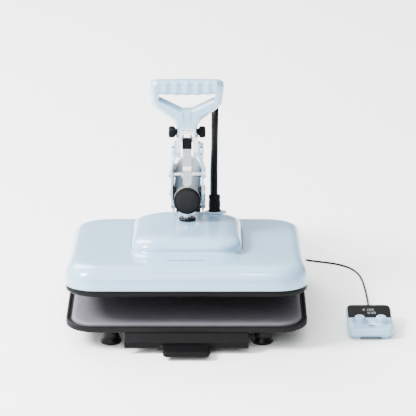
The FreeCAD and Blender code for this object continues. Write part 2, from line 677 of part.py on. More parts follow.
def make_platen():
    y = ("bezel_wall + 0.3", "lid_depth - bezel_wall - 0.3")
    platen = rounded_slab("heat_platen", centred("platen_half_width"), y,
                          ("platen_z", "platen_z + platen_thickness"), "platen_radius")
    keep("heat_platen", platen, ON_ARM)


def make_element():
    """A flat sheathed element bent to and fro across the platen."""
    rows = int(size("element_rows"))
    z = ("platen_z + platen_thickness", "platen_z + platen_thickness + element_thickness")
    first, pitch = 48, 43
    bars = []
    for i in range(rows):
        y = first + i * pitch
        bars.append(box(f"element_row_{i}", centred("element_half_width"),
                        (y, f"{y} + element_width"), z))
        if i < rows - 1:
            west = "element_half_width - element_width" if i % 2 else "-element_half_width"
            bars.append(box(f"element_turn_{i}", (west, f"{west} + element_width"),
                            (y, f"{y + pitch} + element_width"), z))
    keep("heating_element", fuse("heating_element", *bars), ON_ARM)


def make_head_stack():
    wool = rounded_slab("insulation", centred(176), (24, 376),
                        ("insulation_z", "insulation_z + insulation_thickness"), 30)
    keep("insulation", wool, ON_ARM)
    backing_z = "insulation_z + insulation_thickness"
    plate = box("backing_blank", centred("backing_half_width"), (80, 320),
                (backing_z, f"{backing_z} + backing_thickness"))
    sleeve_z = f"{backing_z} + backing_thickness"
    sleeve = rod("bush_outside", "z", (0, "screw_y", sleeve_z), "bush_radius",
                 f"bush_top_z - ({sleeve_z})")
    bore = rod("bush_bore", "z", (0, "screw_y", 70), "screw_radius + running_gap", 80)
    keep("backing_plate", cut("backing_plate", fuse("backing_solid", plate, sleeve), bore),
         ON_ARM)
    screws = []
    for i, (x, y) in enumerate([(-110, 100), (110, 100), (-110, 300), (110, 300)]):
        shank = rod(f"platen_screw_shank_{i}", "z", (x, y, sleeve_z), 3, 3)
        head = rod(f"platen_screw_head_{i}", "z", (x, y, f"{sleeve_z} + 3"), 5, 3)
        screws.append(fuse(f"platen_screw_{i}", shank, head))
    keep("platen_screws", group("platen_screws", screws), ON_ARM)


def make_pressure_nut():
    """A notched ring nut, carried on the head and turned by hand on the fixed screw."""
    ring = rod("nut_ring", "z", (0, "screw_y", "nut_z"), "nut_radius", "nut_height")
    bore = rod("nut_bore", "z", (0, "screw_y", "nut_z - 1"), "screw_radius + running_gap", 20)
    notches = []
    for i in range(12):
        angle = math.radians(30 * i)
        x = (size("nut_radius") + 1.2) * math.cos(angle)
        y = (size("nut_radius") + 1.2) * math.sin(angle)
        notches.append(rod(f"nut_notch_{i}", "z", (x, f"screw_y + ({y})", "nut_z - 1"), 2.2,
                           20))
    keep("pressure_nut", cut("pressure_nut", ring, bore, *notches), ON_ARM)


def make_conduit_gland():
    at = ("conduit_x", "conduit_y")
    flange = rod("flange_disc", "z", (*at, "hump_top_z"), 12, 3.5)
    lobe = rod("flange_lobe", "z", (f"{at[0]} + 13", at[1], "hump_top_z"), 6, 3.5)
    bridge = box("flange_bridge", (at[0], f"{at[0]} + 13"), (f"{at[1]} - 6", f"{at[1]} + 6"),
                 ("hump_top_z", "hump_top_z + 3.5"))
    hole = rod("flange_hole", "z", (*at, "hump_top_z - 1"), 7.2, 20)
    keep("gland_flange", cut("gland_flange", fuse("flange_solid", flange, lobe, bridge),
                             hole), ON_ARM)
    base_z = "hump_top_z + 3.5"
    collar = cone("gland_collar", "z", (*at, base_z), 11.5, 10, 7)
    barrel = rod("gland_barrel", "z", (*at, f"{base_z} + 7"), 10,
                 f"conduit_gland_top_z - ({base_z}) - 7")
    bore = rod("gland_bore", "z", (*at, f"{base_z} - 1"), 7.2, 60)
    keep("conduit_gland", cut("conduit_gland", fuse("gland_solid", collar, barrel), bore),
         ON_ARM)


# ---------------------------------------------------------------- lever and link

LEVER_AXIS = ("lever_y", "lever_z")
CLAMP_AXIS = ("lever_y + clamp_back", "lever_z + clamp_z")
CRANK_Y = "lever_y + crank_radius * sin(crank_angle * 1 deg)"
CRANK_Z = "lever_z + crank_radius * cos(crank_angle * 1 deg)"


def lever_cheek(side):
    """A thick cheek around the pivot with a thin tongue that the handle clamps on."""
    tag = f"lever_cheek_{side + 1}"
    inner, outer, thin = "lever_inner_x", "lever_outer_x", "lever_inner_x + 2.5"
    cheek = profile_plate(tag, [
        ("lever_y - 8", "lever_z - 11"), ("lever_y + 8", "lever_z - 11"),
        ("lever_y + 11", "lever_z"), ("lever_y + 11", "lever_z + 27.5"),
        ("lever_y - 9", "lever_z + 27.5"), ("lever_y - 11", "lever_z")],
        inner if side > 0 else f"-{outer}", f"{outer} - {inner}")
    tongue = box(tag + "_tongue", (inner, thin) if side > 0 else (f"-({thin})", f"-{inner}"),
                 ("lever_y - 8", "lever_y + 10"), ("lever_z + 27.5", "lever_z + 46"))
    return fuse(tag + "_solid", cheek, tongue)


def make_lever_bracket():
    """Two cheeks and the block between them, cast in one piece."""
    block = box("clamp_block", centred("lever_inner_x"), ("lever_y + 1", "lever_y + 9"),
                ("lever_z + 30.3", "lever_z + 36.3"))
    holes = [
        rod("lever_pivot_hole", "x", (-40, *LEVER_AXIS), "lever_pin_radius + running_gap",
            80),
        rod("lever_crank_hole", "x", (-40, CRANK_Y, CRANK_Z), "crank_pin_radius", 80),
        rod("lever_clamp_hole", "x", (-40, *CLAMP_AXIS), "clamp_stud_radius - 0.4", 80),
    ]
    for side in (-1, 1):
        holes.append(outward(f"lever_stud_hole_{side + 1}", side, 4.5, *CLAMP_AXIS,
                             "clamp_stud_radius + running_gap", 20))
    keep("lever_bracket", cut("lever_drilled", fuse("lever_solid", lever_cheek(-1),
                                                    lever_cheek(1), block), *holes))


HANDLE_RIGHT_HALF = [
    (60, 131), (65.5, 125), (61.5, 88), (51, 77), (22.5, 54), (18.5, 44), (18.5, 28),
    (13.7, 28), (13.7, 48),
]
OPENING_RIGHT_HALF = [(48.5, 107.3), (49, 99), (9.5, 79)]


def mirrored_outline(half):
    """A closed outline from its right half, measured up from the lever's pivot."""
    right = [(x, f"lever_z + {z}") for x, z in half]
    left = [(-x, f"lever_z + {z}") for x, z in reversed(half)]
    return right + left


def make_handle():
    grip = face_plate("handle_grip", mirrored_outline(HANDLE_RIGHT_HALF),
                      "lever_y - handle_half_depth", "2 * handle_half_depth")
    hole = face_plate("handle_opening", mirrored_outline(OPENING_RIGHT_HALF),
                      "lever_y - 20", 40)
    thin = [box(f"handle_thin_{i}", (-30, 30), y, ("lever_z + 27", "lever_z + 58"))
            for i, y in enumerate([("lever_y - 20", "lever_y - 10"),
                                   ("lever_y + 10", "lever_y + 20")])]
    studs = rod("handle_stud_hole", "x", (-40, *CLAMP_AXIS),
                "clamp_stud_radius + running_gap", 80)
    keep("handle_grip", cut("handle_with_opening", grip, hole, studs, *thin))


def make_crank_pin():
    keep("crank_pin", rod("crank_pin", "x", ("-lever_outer_x", CRANK_Y, CRANK_Z),
                          "crank_pin_radius", "2 * lever_outer_x"))


def make_clamp_knob(name, side):
    """A lobed hand knob on a stud that clamps the handle to the lever plate."""
    start = "lever_outer_x"
    centre_y, centre_z = CLAMP_AXIS
    body = outward(name + "_body", side, start, *CLAMP_AXIS, "clamp_radius - 1.5",
                   "clamp_length")
    lobes = []
    for i in range(6):
        angle = math.radians(60 * i)
        y = (size("clamp_radius") - 2.5) * math.cos(angle)
        height = (size("clamp_radius") - 2.5) * math.sin(angle)
        lobes.append(outward(f"{name}_lobe_{i}", side, f"{start} + 1.5",
                             f"{centre_y} + ({y})", f"{centre_z} + ({height})", 2.5,
                             "clamp_length - 1.5"))
    stud = outward(name + "_stud", side, 5, *CLAMP_AXIS, "clamp_stud_radius",
                   "lever_outer_x - 5")
    keep(name, fuse(name, body, stud, *lobes))


def link_ends():
    """Crank pin centre and lug centre at rest."""
    angle = math.radians(size("crank_angle"))
    reach = size("crank_radius")
    crank = FreeCAD.Vector(0, size("lever_y") + reach * math.sin(angle),
                           size("lever_z") + reach * math.cos(angle))
    closed_lug = FreeCAD.Vector(0, size("lug_y"), size("lug_z"))
    return crank, turned_about(HINGE, -size("open_angle")).multVec(closed_lug)


def make_link():
    """The channel hangs upright below the crank pin, then leans to meet the lug.

    Its lower end has an open window round the lug pin, because the pair turn by fixed
    ratios, while the real crank drives the arm by a sine.
    """
    crank, lug = link_ends()
    run = crank.sub(lug)
    lean = math.degrees(math.atan2(-run.y, run.z))
    drop = run.Length
    upright = FreeCAD.Placement(crank, FreeCAD.Rotation(ACROSS, lean))
    place = AT_REST.multiply(upright)
    shin = [(-10.5, -drop - 14.5), (-10.5, -drop + 12), (-7, -drop + 18), (-7, 4.5)]
    cheek = shin + [(-3.5, 8.3), (3.5, 8.3), (7, 5), (8, -drop + 14), (16, -drop + 4),
                    (16, -drop - 14.5)]
    sides = [profile_plate(f"link_cheek_{i}", cheek, x, "link_wall")
             for i, x in enumerate(["-link_half_width", "link_half_width - link_wall"])]
    back = [(-5.2, 4.5), (-5.2, -drop + 17.5), (-8.7, -drop + 11.5), (-8.7, -drop - 14.5)]
    web = profile_plate("link_web", shin + back, "-link_half_width", "2 * link_half_width")
    pin_hole = rod("link_pin_hole", "x", (-40, 0, 0), "crank_pin_radius + running_gap", 80)
    window = box("link_window", (-20, 20), (-4.2, 13.5), (-drop - 12, -drop + 5))
    keep("toggle_link", cut("toggle_link", fuse("link_solid", *sides, web), pin_hole,
                            window), place)
    flank = [(-8.4, -16), (-8.4, 3.5), (-5.5, 7), (0, 8.8), (5.5, 7), (7, 4), (7, -16)]
    shell = [box("cap_front", centred(8.6), (-8.4, -7), (-16, 3.5)),
             profile_plate("cap_left", flank, -8.6, "8.6 - link_half_width"),
             profile_plate("cap_right", flank, "link_half_width", "8.6 - link_half_width")]
    cap_hole = rod("cap_hole", "x", (-40, 0, 0), "crank_pin_radius + 0.4", 80)
    keep("link_cap", cut("link_cap", fuse("cap_solid", *shell), cap_hole), place)


# ---------------------------------------------------------------- drawer

def make_tray():
    x = centred("tray_half_width")
    tray = rounded_slab("lower_tray", x, (0, "tray_depth"), ("tray_lip_z", "tray_rim_z"),
                        "tray_radius")
    wall = "tray_wall"
    inner_x = centred(f"tray_half_width - {wall}")
    rounded_pocket(tray, "tray_top", inner_x, (wall, f"tray_depth - {wall}"),
                   ("tray_floor_z + tray_floor", "tray_rim_z"), f"tray_radius - {wall}")
    rounded_pocket(tray, "tray_under", inner_x, (wall, "tray_depth + 60"),
                   ("tray_lip_z", "tray_floor_z"), f"tray_radius - {wall}")
    notches = [box(f"tray_notch_{i}", (x0, x0 + 8), (-1, 6), ("tray_lip_z - 1",
                                                             "tray_floor_z"))
               for i, x0 in enumerate([-158, 150])]
    keep("lower_tray", cut("lower_tray_notched", tray, *notches))


def make_pad():
    pad_body = rounded_slab("silicone_pad", centred("tray_half_width - pad_inset"),
                            ("pad_inset", "tray_depth - pad_inset"),
                            ("tray_floor_z + tray_floor", "pad_top_z"), "pad_radius")
    round_top(pad_body, "pad_edge_round")
    keep("silicone_pad", pad_body)


def make_pull():
    """The drawer's crossbar, with a rounded tab for the fingers."""
    bar = profile_plate("pull_bar", [
        ("pull_front_y + 12", "pull_top_z"), ("pull_front_y", "pull_brow_z"),
        ("pull_front_y", "pull_bottom_z"), ("pull_front_y + 3", "pull_bottom_z"),
        ("pull_front_y + 5", "pull_brow_z - 2"), ("pull_front_y + 22", "pull_top_z - 4"),
        ("pull_front_y + 22", "pull_top_z")], "-pull_half_width", "2 * pull_half_width")
    tab = rounded_slab("pull_tab", centred("tab_half_width"),
                       ("tab_front_y", "pull_front_y + 12"),
                       ("tab_bottom_z", "tab_bottom_z + tab_thickness"), "tab_radius")
    below = box("pull_trim", (-60, 60), ("pull_front_y + 4", "pull_front_y + 20"),
                ("tab_bottom_z - 1", "tab_bottom_z + tab_thickness + 1"))
    keep("drawer_pull", fuse("drawer_pull", bar, cut("pull_tab_trimmed", tab, below)))


# ---------------------------------------------------------------- electronics box

def make_electronics_box():
    floor_z = "base_z + base_thickness"
    y = ("box_front_y", "box_rear_y")
    x = centred("box_half_width")
    lower = box("box_lower", x, y, (floor_z, "box_split_z"))
    inner_x = centred("box_half_width - box_wall")
    inner_y = ("box_front_y + box_wall", "box_rear_y - box_wall")
    hollow = box("box_hollow", inner_x, inner_y, (f"{floor_z} + box_wall", "box_split_z + 1"))
    inlet_hole = box("inlet_hole", ("inlet_x - 13", "inlet_x + 13"), (550, 570),
                     ("socket_z - 9", "socket_z + 9"))
    switch_hole = box("switch_hole", ("switch_x - 9", "switch_x + 9"), (550, 570),
                      ("socket_z - 7", "socket_z + 7"))
    gland_hole = rod("side_gland_hole", "x", (70, "gland_y", "gland_z"), 4, 20)
    keep("electronics_box", cut("electronics_box", lower, hollow, inlet_hole, switch_hole,
                                gland_hole))
    lid = box("box_lid_block", x, y, ("box_split_z", "box_top_z"))
    lid_hollow = box("box_lid_hollow", inner_x, inner_y,
                     ("box_split_z - 1", "box_top_z - box_wall"))
    wire_hole = rod("rear_gland_hole", "z", ("rear_gland_x", "rear_gland_y", "box_split_z"),
                    7.2, 40)
    keep("box_cover", cut("box_cover", lid, lid_hollow, wire_hole))


def make_power_board():
    board = box("board", (-60, 40), (514, 550), (36, 37.6))
    blocks = [box(f"board_part_{i}", (x0, x0 + 16), (518, 532), (37.6, 37.6 + height))
              for i, (x0, height) in enumerate([(-52, 14), (-24, 9), (4, 12)])]
    keep("power_board", fuse("power_board", board, *blocks))


def make_inlet_and_switch():
    """A three-pin mains inlet and a switch's frame in one moulding, with the rocker in it."""
    body = box("inlet_body", ("inlet_x - 13", "inlet_x + 13"), (552, "box_rear_y"),
               ("socket_z - 9", "socket_z + 9"))
    rim = box("inlet_rim", ("inlet_x - 15", "switch_x + 11"),
              ("box_rear_y", "box_rear_y + 1.5"), ("socket_z - 11", "socket_z + 11"))
    socket = box("inlet_socket", ("inlet_x - 11", "inlet_x + 11"), (554, 570),
                 ("socket_z - 7", "socket_z + 7"))
    pins = [box(f"inlet_pin_{i}", (f"inlet_x + {dx - 1}", f"inlet_x + {dx + 1}"), (552, 560),
                (f"socket_z + {dz - 2}", f"socket_z + {dz + 2}"))
            for i, (dx, dz) in enumerate([(-6, -2), (0, 2), (6, -2)])]
    frame = box("switch_frame_block", ("switch_x - 9", "switch_x + 9"),
                (552, "box_rear_y"), ("socket_z - 7", "socket_z + 7"))
    lip = box("switch_frame_lip", ("switch_x - 11", "switch_x + 11"),
              ("box_rear_y", "box_rear_y + 1.5"), ("socket_z - 9", "socket_z + 9"))
    window = box("switch_window", ("switch_x - 7", "switch_x + 7"), (554, 570),
                 ("socket_z - 5.8", "socket_z + 5.8"))
    shell = cut("socket_shell", fuse("socket_solid", body, rim, frame, lip), socket, window)
    keep("power_inlet", fuse("power_inlet_with_pins", shell, *pins))
    rocker = box("rocker_block", ("switch_x - 6.5", "switch_x + 6.5"), (557, 562.3),
                 ("socket_z - 4.8", "socket_z + 4.8"))
    axle = rod("rocker_axle", "x", ("switch_x - 6.5", 558, "socket_z"), 3.9, 13)
    centre = FreeCAD.Vector(0, 558, size("socket_z"))
    keep("power_rocker", rocker_at_rest(fuse("rocker_solid", rocker, axle), centre))


def rocker_at_rest(rocker, centre):
    """The rocker leans to its off side, so its travel runs to the on side."""
    leaning = doc.addObject("Part::Compound", "rocker_leaning")
    rocker_turn = doc.addObject("Part::Compound", "rocker_turn")
    rocker_turn.Links = [rocker]
    rocker_turn.Placement = turned_about(centre, -6)
    leaning.Links = [rocker_turn]
    return leaning


def make_glands():
    hexagon = rod("gland_collar_side", "x", ("box_half_width", "gland_y", "gland_z"), 7, 4)
    dome = cone("gland_dome_side", "x", ("box_half_width + 4", "gland_y", "gland_z"), 6, 3.4,
                8)
    keep("cord_gland", fuse("cord_gland", hexagon, dome))
    at = ("rear_gland_x", "rear_gland_y")
    collar = rod("rear_gland_collar", "z", (*at, "box_top_z"), 12, 6)
    barrel = rod("rear_gland_barrel", "z", (*at, "box_top_z + 6"), 10, 8)
    bore = rod("rear_gland_bore", "z", (*at, "box_top_z - 1"), 6.5, 40)
    keep("rear_conduit_gland", cut("rear_conduit_gland", fuse("rear_gland_solid", collar,
                                                              barrel), bore))


# ---------------------------------------------------------------- controller

SLOPE = math.degrees(math.atan2(size("controller_rear_z") - size("controller_front_z"),
                                size("controller_rear_y") - size("controller_front_y")))


def slope_z(y):
    """The height formula of the controller's sloping top at a depth formula."""
    rise = "(controller_rear_z - controller_front_z)"
    run = "(controller_rear_y - controller_front_y)"
    return f"controller_front_z + {rise} * (({y}) - controller_front_y) / {run}"


def on_slope(y):
    """The placement of a control drawn upright about X = 0 and Y = 0 at the table."""
    depth = evaluate(y)
    place = FreeCAD.Placement(FreeCAD.Vector(0, depth, evaluate(slope_z(y))),
                              FreeCAD.Rotation(ACROSS, SLOPE))
    return AT_REST.multiply(place)


def make_controller_case():
    """A rounded wedge, hollow from below, with openings for its screen and controls."""
    west, east = ("controller_x - controller_half_width",
                  "controller_x + controller_half_width")
    front, rear = "controller_front_y", "controller_rear_y"
    plan = rounded_slab("controller_plan", (west, east), (front, rear),
                        ("controller_z", 40), "controller_radius")
    wedge = profile_plate("controller_wedge", [
        (f"{front} - 1", 0), (f"{rear} + 1", 0), (f"{rear} + 1", slope_z(f"{rear} + 1")),
        (f"{front} - 1", slope_z(f"{front} - 1"))], f"{west} - 1",
        "2 * controller_half_width + 2")
    solid = common("controller_solid", plan, wedge)
    wall = "controller_wall"
    inner = rounded_slab("controller_inner_plan",
                         (f"{west} + {wall}", f"{east} - {wall}"),
                         (f"{front} + {wall}", f"{rear} - {wall}"), (0, 40),
                         f"controller_radius - {wall}")
    under = profile_plate("controller_inner_wedge", [
        (front, 0), (rear, 0), (rear, f"{slope_z(rear)} - 2.5"),
        (front, f"{slope_z(front)} - 2.5")], f"{west} - 1",
        "2 * controller_half_width + 2")
    hollow = common("controller_hollow", inner, under)
    recess = controller_screen_block("screen_recess", 0, 0.01)
    relief_hole = rod("controller_relief_hole", "y", ("controller_x + 4", f"{rear} - 5",
                                                      "cord_exit_z"), 3, 10)
    button_hole = box("controller_button_hole",
                      ("controller_x - button_half_width - 0.4",
                       "controller_x + button_half_width + 0.4"),
                      ("button_y - 3.4", "button_y + 3.4"), (5, 40))
    shafts = [rod(f"controller_shaft_hole_{i}", "z",
                  (f"controller_x + {sign} * knob_spread", "knob_y", 5), 3.4, 40)
              for i, sign in enumerate([-1, 1])]
    keep("controller_housing", cut("controller_housing", solid, hollow, recess, relief_hole,
                                   button_hole, *shafts))
    floor = rounded_slab("controller_floor_slab",
                         (f"{west} + {wall}", f"{east} - {wall}"),
                         (f"{front} + {wall}", f"{rear} - {wall}"),
                         ("controller_z", "controller_z + controller_floor"),
                         f"controller_radius - {wall}")
    keep("controller_screen", controller_screen_block("controller_screen", 0.4, 0))
    feet = [rod(f"controller_foot_{i}", "z",
                (f"controller_x + {dx}", f"{y} + {dy}", 0), 4, "controller_z + 1")
            for i, (dx, y, dy) in enumerate([(-30, front, 10), (30, front, 10),
                                             (-30, rear, -10), (30, rear, -10)])]
    keep("controller_base", fuse("controller_base_on_feet", floor, *feet))
    board = box("controller_board_plate", ("controller_x - 34", "controller_x + 34"),
                (f"{front} + 8", f"{rear} - 8"), (8, 9.6))
    keep("controller_board", board)


def controller_screen_block(name, inset, extra):
    """The glass over the display: a slice of the sloping top, flush with it."""
    west = f"controller_x - controller_half_width + 2 + {inset}"
    width = f"2 * controller_half_width - 4 - 2 * {inset}"
    front, rear = f"screen_front_y + {inset}", f"controller_rear_y - 3 - {inset}"
    low, high = f"- screen_thickness - {extra}", f"{3 if extra else 0}"
    return profile_plate(name, [
        (front, f"{slope_z(front)} {low}"), (rear, f"{slope_z(rear)} {low}"),
        (rear, f"{slope_z(rear)} + {high}"), (front, f"{slope_z(front)} + {high}")],
        west, width)


def make_controls():
    for name, sign in (("temperature_knob", -1), ("timer_knob", 1)):
        x = f"controller_x + {sign} * knob_spread"
        skirt = rod(name + "_skirt", "z", (x, 0, 0.3), "knob_radius", 3)
        barrel = cone(name + "_barrel", "z", (x, 0, 3.3), "knob_radius - 2",
                      "knob_radius - 4", "knob_height - 3.3")
        pointer = box(name + "_pointer", (f"{x} - 2", f"{x} + 2"),
                      ("-knob_radius + 1", "knob_radius - 3"), (3.3, "knob_height - 2"))
        shaft = rod(name + "_shaft", "z", (x, 0, -9), 3, 10)
        keep(name, fuse(name, skirt, barrel, pointer, shaft), on_slope("knob_y"))
    cap = box("button_cap", ("controller_x - button_half_width",
                             "controller_x + button_half_width"), (-2.8, 2.8), (-6, 2.2))
    keep("start_button", cap, on_slope("button_y"))
    exit_y = "controller_rear_y"
    boot = cone("relief_boot", "y", ("controller_x + 4", exit_y, "cord_exit_z"), 3.6, 2.4, 20)
    shank = rod("relief_shank", "y", ("controller_x + 4", f"{exit_y} - 4", "cord_exit_z"),
                2.9, 4)
    keep("cord_strain_relief", fuse("cord_strain_relief", boot, shank))


# ---------------------------------------------------------------- cord and conduit

def smooth_path(points):
    """Straight runs joined by tangent arcs, as large as the two runs allow."""
    edges = []
    here = points[0]
    for before, corner, after in zip(points, points[1:], points[2:]):
        back = before.sub(corner)
        ahead = after.sub(corner)
        trim = 0.45 * min(back.Length, ahead.Length)
        half_turn = (math.pi - back.getAngle(ahead)) / 2
        radius = trim / math.tan(half_turn)
        start = corner.add(FreeCAD.Vector(back).normalize().multiply(trim))
        end = corner.add(FreeCAD.Vector(ahead).normalize().multiply(trim))
        inward = start.add(end).multiply(0.5).sub(corner)
        middle_gap = radius / math.cos(half_turn) - radius
        middle = corner.add(inward.normalize().multiply(middle_gap))
        edges.append(Part.LineSegment(here, start).toShape())
        edges.append(Part.Arc(start, middle, end).toShape())
        here = end
    edges.append(Part.LineSegment(here, points[-1]).toShape())
    return Part.Wire(edges)


def make_tube(name, route, radius):
    """A plain round tube along a route, in a Part::Feature."""
    points = [FreeCAD.Vector(*point) for point in route]
    path = smooth_path(points)
    circle = Part.Wire([Part.makeCircle(radius, points[0], points[1].sub(points[0]))])
    tube = path.makePipeShell([circle], True, False)
    expected = math.pi * radius ** 2 * path.Length
    if abs(tube.Volume / expected - 1) > 0.01:
        raise ValueError(f"{name} has the wrong volume")
    feature = doc.addObject("Part::Feature", name)
    feature.Shape = tube
    keep(name, feature)
    print(f"{name}: length {path.Length:.1f}")


# ---------------------------------------------------------------- build

def make_everything():
    make_base()
    make_slides()
    make_column()
    make_side_plate("side_plate_left", -1)
    make_side_plate("side_plate_right", 1)
    make_frame_fasteners()
    make_limit_switch()
    make_gas_spring()
    make_arm()
    make_screw_saddle()
    make_link_lug()
    make_lid()
    make_hump()
    make_platen()
    make_element()
    make_head_stack()
    make_pressure_nut()
    make_conduit_gland()
    make_lever_bracket()
    make_handle()
    make_crank_pin()
    make_clamp_knob("clamp_knob_left", -1)
    make_clamp_knob("clamp_knob_right", 1)
    make_link()
    make_tray()
    make_pad()
    make_pull()
    make_electronics_box()
    make_power_board()
    make_inlet_and_switch()
    make_glands()
    make_controller_case()
    make_controls()
    make_tube("conduit", CONDUIT_ROUTE, size("conduit_radius"))
    make_tube("controller_cord", CORD_ROUTE, size("cord_radius"))


def write_parts():
    doc.recompute()
    failed = [item.Name for item in doc.Objects
              if "Invalid" in item.State or "Error" in item.State]
    if failed:
        raise ValueError(f"features failed: {failed}")
    for part in PARTS:
        if part.Shape.isNull() or not part.Shape.isValid():
            raise ValueError(f"{part.Label} has no valid shape")
    os.makedirs("parts", exist_ok=True)
    for part in PARTS:
        part.Shape.exportStep(os.path.join("parts", part.Label + ".step"))
    print(f"{len(PARTS)} parts, origin at {tuple(round(v, 3) for v in ORIGIN)}")


make_everything()
write_parts()
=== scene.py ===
import json
import math

import bmesh
import bpy
from mathutils import Matrix, Vector


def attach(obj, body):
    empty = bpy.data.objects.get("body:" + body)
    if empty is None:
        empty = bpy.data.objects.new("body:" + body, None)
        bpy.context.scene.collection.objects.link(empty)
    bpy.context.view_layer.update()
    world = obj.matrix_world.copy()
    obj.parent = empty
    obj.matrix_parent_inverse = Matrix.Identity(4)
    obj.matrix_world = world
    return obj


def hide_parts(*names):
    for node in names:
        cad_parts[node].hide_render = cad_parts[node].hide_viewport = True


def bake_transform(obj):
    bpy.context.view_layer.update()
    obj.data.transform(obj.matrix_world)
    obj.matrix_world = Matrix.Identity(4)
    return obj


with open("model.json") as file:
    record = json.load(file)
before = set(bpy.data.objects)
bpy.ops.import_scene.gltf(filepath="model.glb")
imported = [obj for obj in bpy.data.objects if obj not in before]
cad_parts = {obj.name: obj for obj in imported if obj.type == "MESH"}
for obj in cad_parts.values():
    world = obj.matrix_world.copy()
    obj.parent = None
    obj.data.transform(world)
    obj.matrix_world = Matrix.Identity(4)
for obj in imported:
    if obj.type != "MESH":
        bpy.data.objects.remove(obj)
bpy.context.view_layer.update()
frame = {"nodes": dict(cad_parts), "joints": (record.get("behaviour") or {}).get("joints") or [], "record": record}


RECORD = frame["record"]
NODES = frame["nodes"]
JOINTS = {joint["name"]: joint for joint in frame["joints"]}

# ---------------------------------------------------------------- places

# Shapes are drawn in millimetres in the press's own measures: X from its middle plane,
# Y rearwards from the front edge of the drawer, Z up from the table, with the arm closed.
MM = 0.001
HINGE_Y, HINGE_Z = 480, 172.5
HINGE = Vector(JOINTS["arm_hinge"]["pos_m"])
OPEN_ANGLE = math.radians(JOINTS["arm_hinge"]["range_deg"][1])
ORIGIN = HINGE - Vector((0, HINGE_Y, HINGE_Z)) * MM
FIXED = Matrix.Translation(ORIGIN) @ Matrix.Scale(MM, 4)
ON_ARM = (Matrix.Translation(HINGE) @ Matrix.Rotation(-OPEN_ANGLE, 4, "X")
          @ Matrix.Translation(-HINGE) @ FIXED)
AXIS_Z = Matrix.Identity(4)
AXIS_X = Matrix.Rotation(math.radians(90), 4, "Y")
AXIS_Y = Matrix.Rotation(math.radians(-90), 4, "X")
UPRIGHT = Matrix.Rotation(math.radians(90), 4, "X")


def at(x, y, z):
    """A move by so many millimetres."""
    return Matrix.Translation((x, y, z))


def row_point(x, y, z):
    """A point of the press at rest, in metres in the row frame."""
    return ORIGIN + Vector((x, y, z)) * MM


# ---------------------------------------------------------------- camera

CAMERA_AT = (-0.0388, -4.2234, 1.6276)
CAMERA_PITCH = 71
CAMERA_LENS, SENSOR_WIDTH = 214.4, 36


def make_camera():
    """A long lens in front of the press that looks down at it."""
    data = bpy.data.cameras.new("camera")
    data.lens = CAMERA_LENS
    data.sensor_width = SENSOR_WIDTH
    camera = bpy.data.objects.new("camera", data)
    camera.location = CAMERA_AT
    camera.rotation_euler = (math.radians(CAMERA_PITCH), 0, 0)
    bpy.context.scene.collection.objects.link(camera)
    bpy.context.scene.camera = camera


# ---------------------------------------------------------------- materials

def mix_tone(colour, factor):
    """A colour made lighter or darker, with its alpha."""
    return tuple(min(1.0, c * factor) for c in colour) + (1.0,)


def surface(name, colour, rough, metal=0.0, coat=0.0, grain=40, fine=900, bump=0.1,
            depth=0.0002, tint=0.03, stretch=(1, 1, 1), specular=0.5, glow=0.0):
    """A procedural finish: noise drives its tone, its roughness and its relief."""
    material = bpy.data.materials.new(name)
    material.use_nodes = True
    nodes, links = material.node_tree.nodes, material.node_tree.links
    shader = nodes["Principled BSDF"]
    shader.inputs["Metallic"].default_value = metal
    shader.inputs["Coat Weight"].default_value = coat
    shader.inputs["Coat Roughness"].default_value = 0.06
    shader.inputs["Specular IOR Level"].default_value = specular
    if glow:
        shader.inputs["Emission Color"].default_value = (*colour, 1)
        shader.inputs["Emission Strength"].default_value = glow
    place = nodes.new("ShaderNodeTexCoord")
    mapping = nodes.new("ShaderNodeMapping")
    mapping.inputs["Scale"].default_value = stretch
    links.new(place.outputs["Object"], mapping.inputs["Vector"])
    cloud = nodes.new("ShaderNodeTexNoise")
    cloud.inputs["Scale"].default_value = grain
    cloud.inputs["Detail"].default_value = 5
    links.new(mapping.outputs["Vector"], cloud.inputs["Vector"])
    speckle = nodes.new("ShaderNodeTexNoise")
    speckle.inputs["Scale"].default_value = fine
    speckle.inputs["Detail"].default_value = 3
    links.new(mapping.outputs["Vector"], speckle.inputs["Vector"])
    tone = nodes.new("ShaderNodeValToRGB")
    tone.color_ramp.elements[0].position = 0.3
    tone.color_ramp.elements[0].color = mix_tone(colour, 1 - tint)
    tone.color_ramp.elements[1].position = 0.7
    tone.color_ramp.elements[1].color = mix_tone(colour, 1 + tint)
    links.new(cloud.outputs["Fac"], tone.inputs["Fac"])
    links.new(tone.outputs["Color"], shader.inputs["Base Color"])
    gloss = nodes.new("ShaderNodeMapRange")
    gloss.inputs["From Min"].default_value = 0.3
    gloss.inputs["From Max"].default_value = 0.7
    gloss.inputs["To Min"].default_value = rough[0]
    gloss.inputs["To Max"].default_value = rough[1]
    links.new(speckle.outputs["Fac"], gloss.inputs["Value"])
    links.new(gloss.outputs["Result"], shader.inputs["Roughness"])
    relief = nodes.new("ShaderNodeBump")
    relief.inputs["Strength"].default_value = bump
    relief.inputs["Distance"].default_value = depth
    links.new(speckle.outputs["Fac"], relief.inputs["Height"])
    links.new(relief.outputs["Normal"], shader.inputs["Normal"])
    return material


BLUE = (0.25, 0.42, 0.57)
BLACK = (0.004, 0.004, 0.0043)


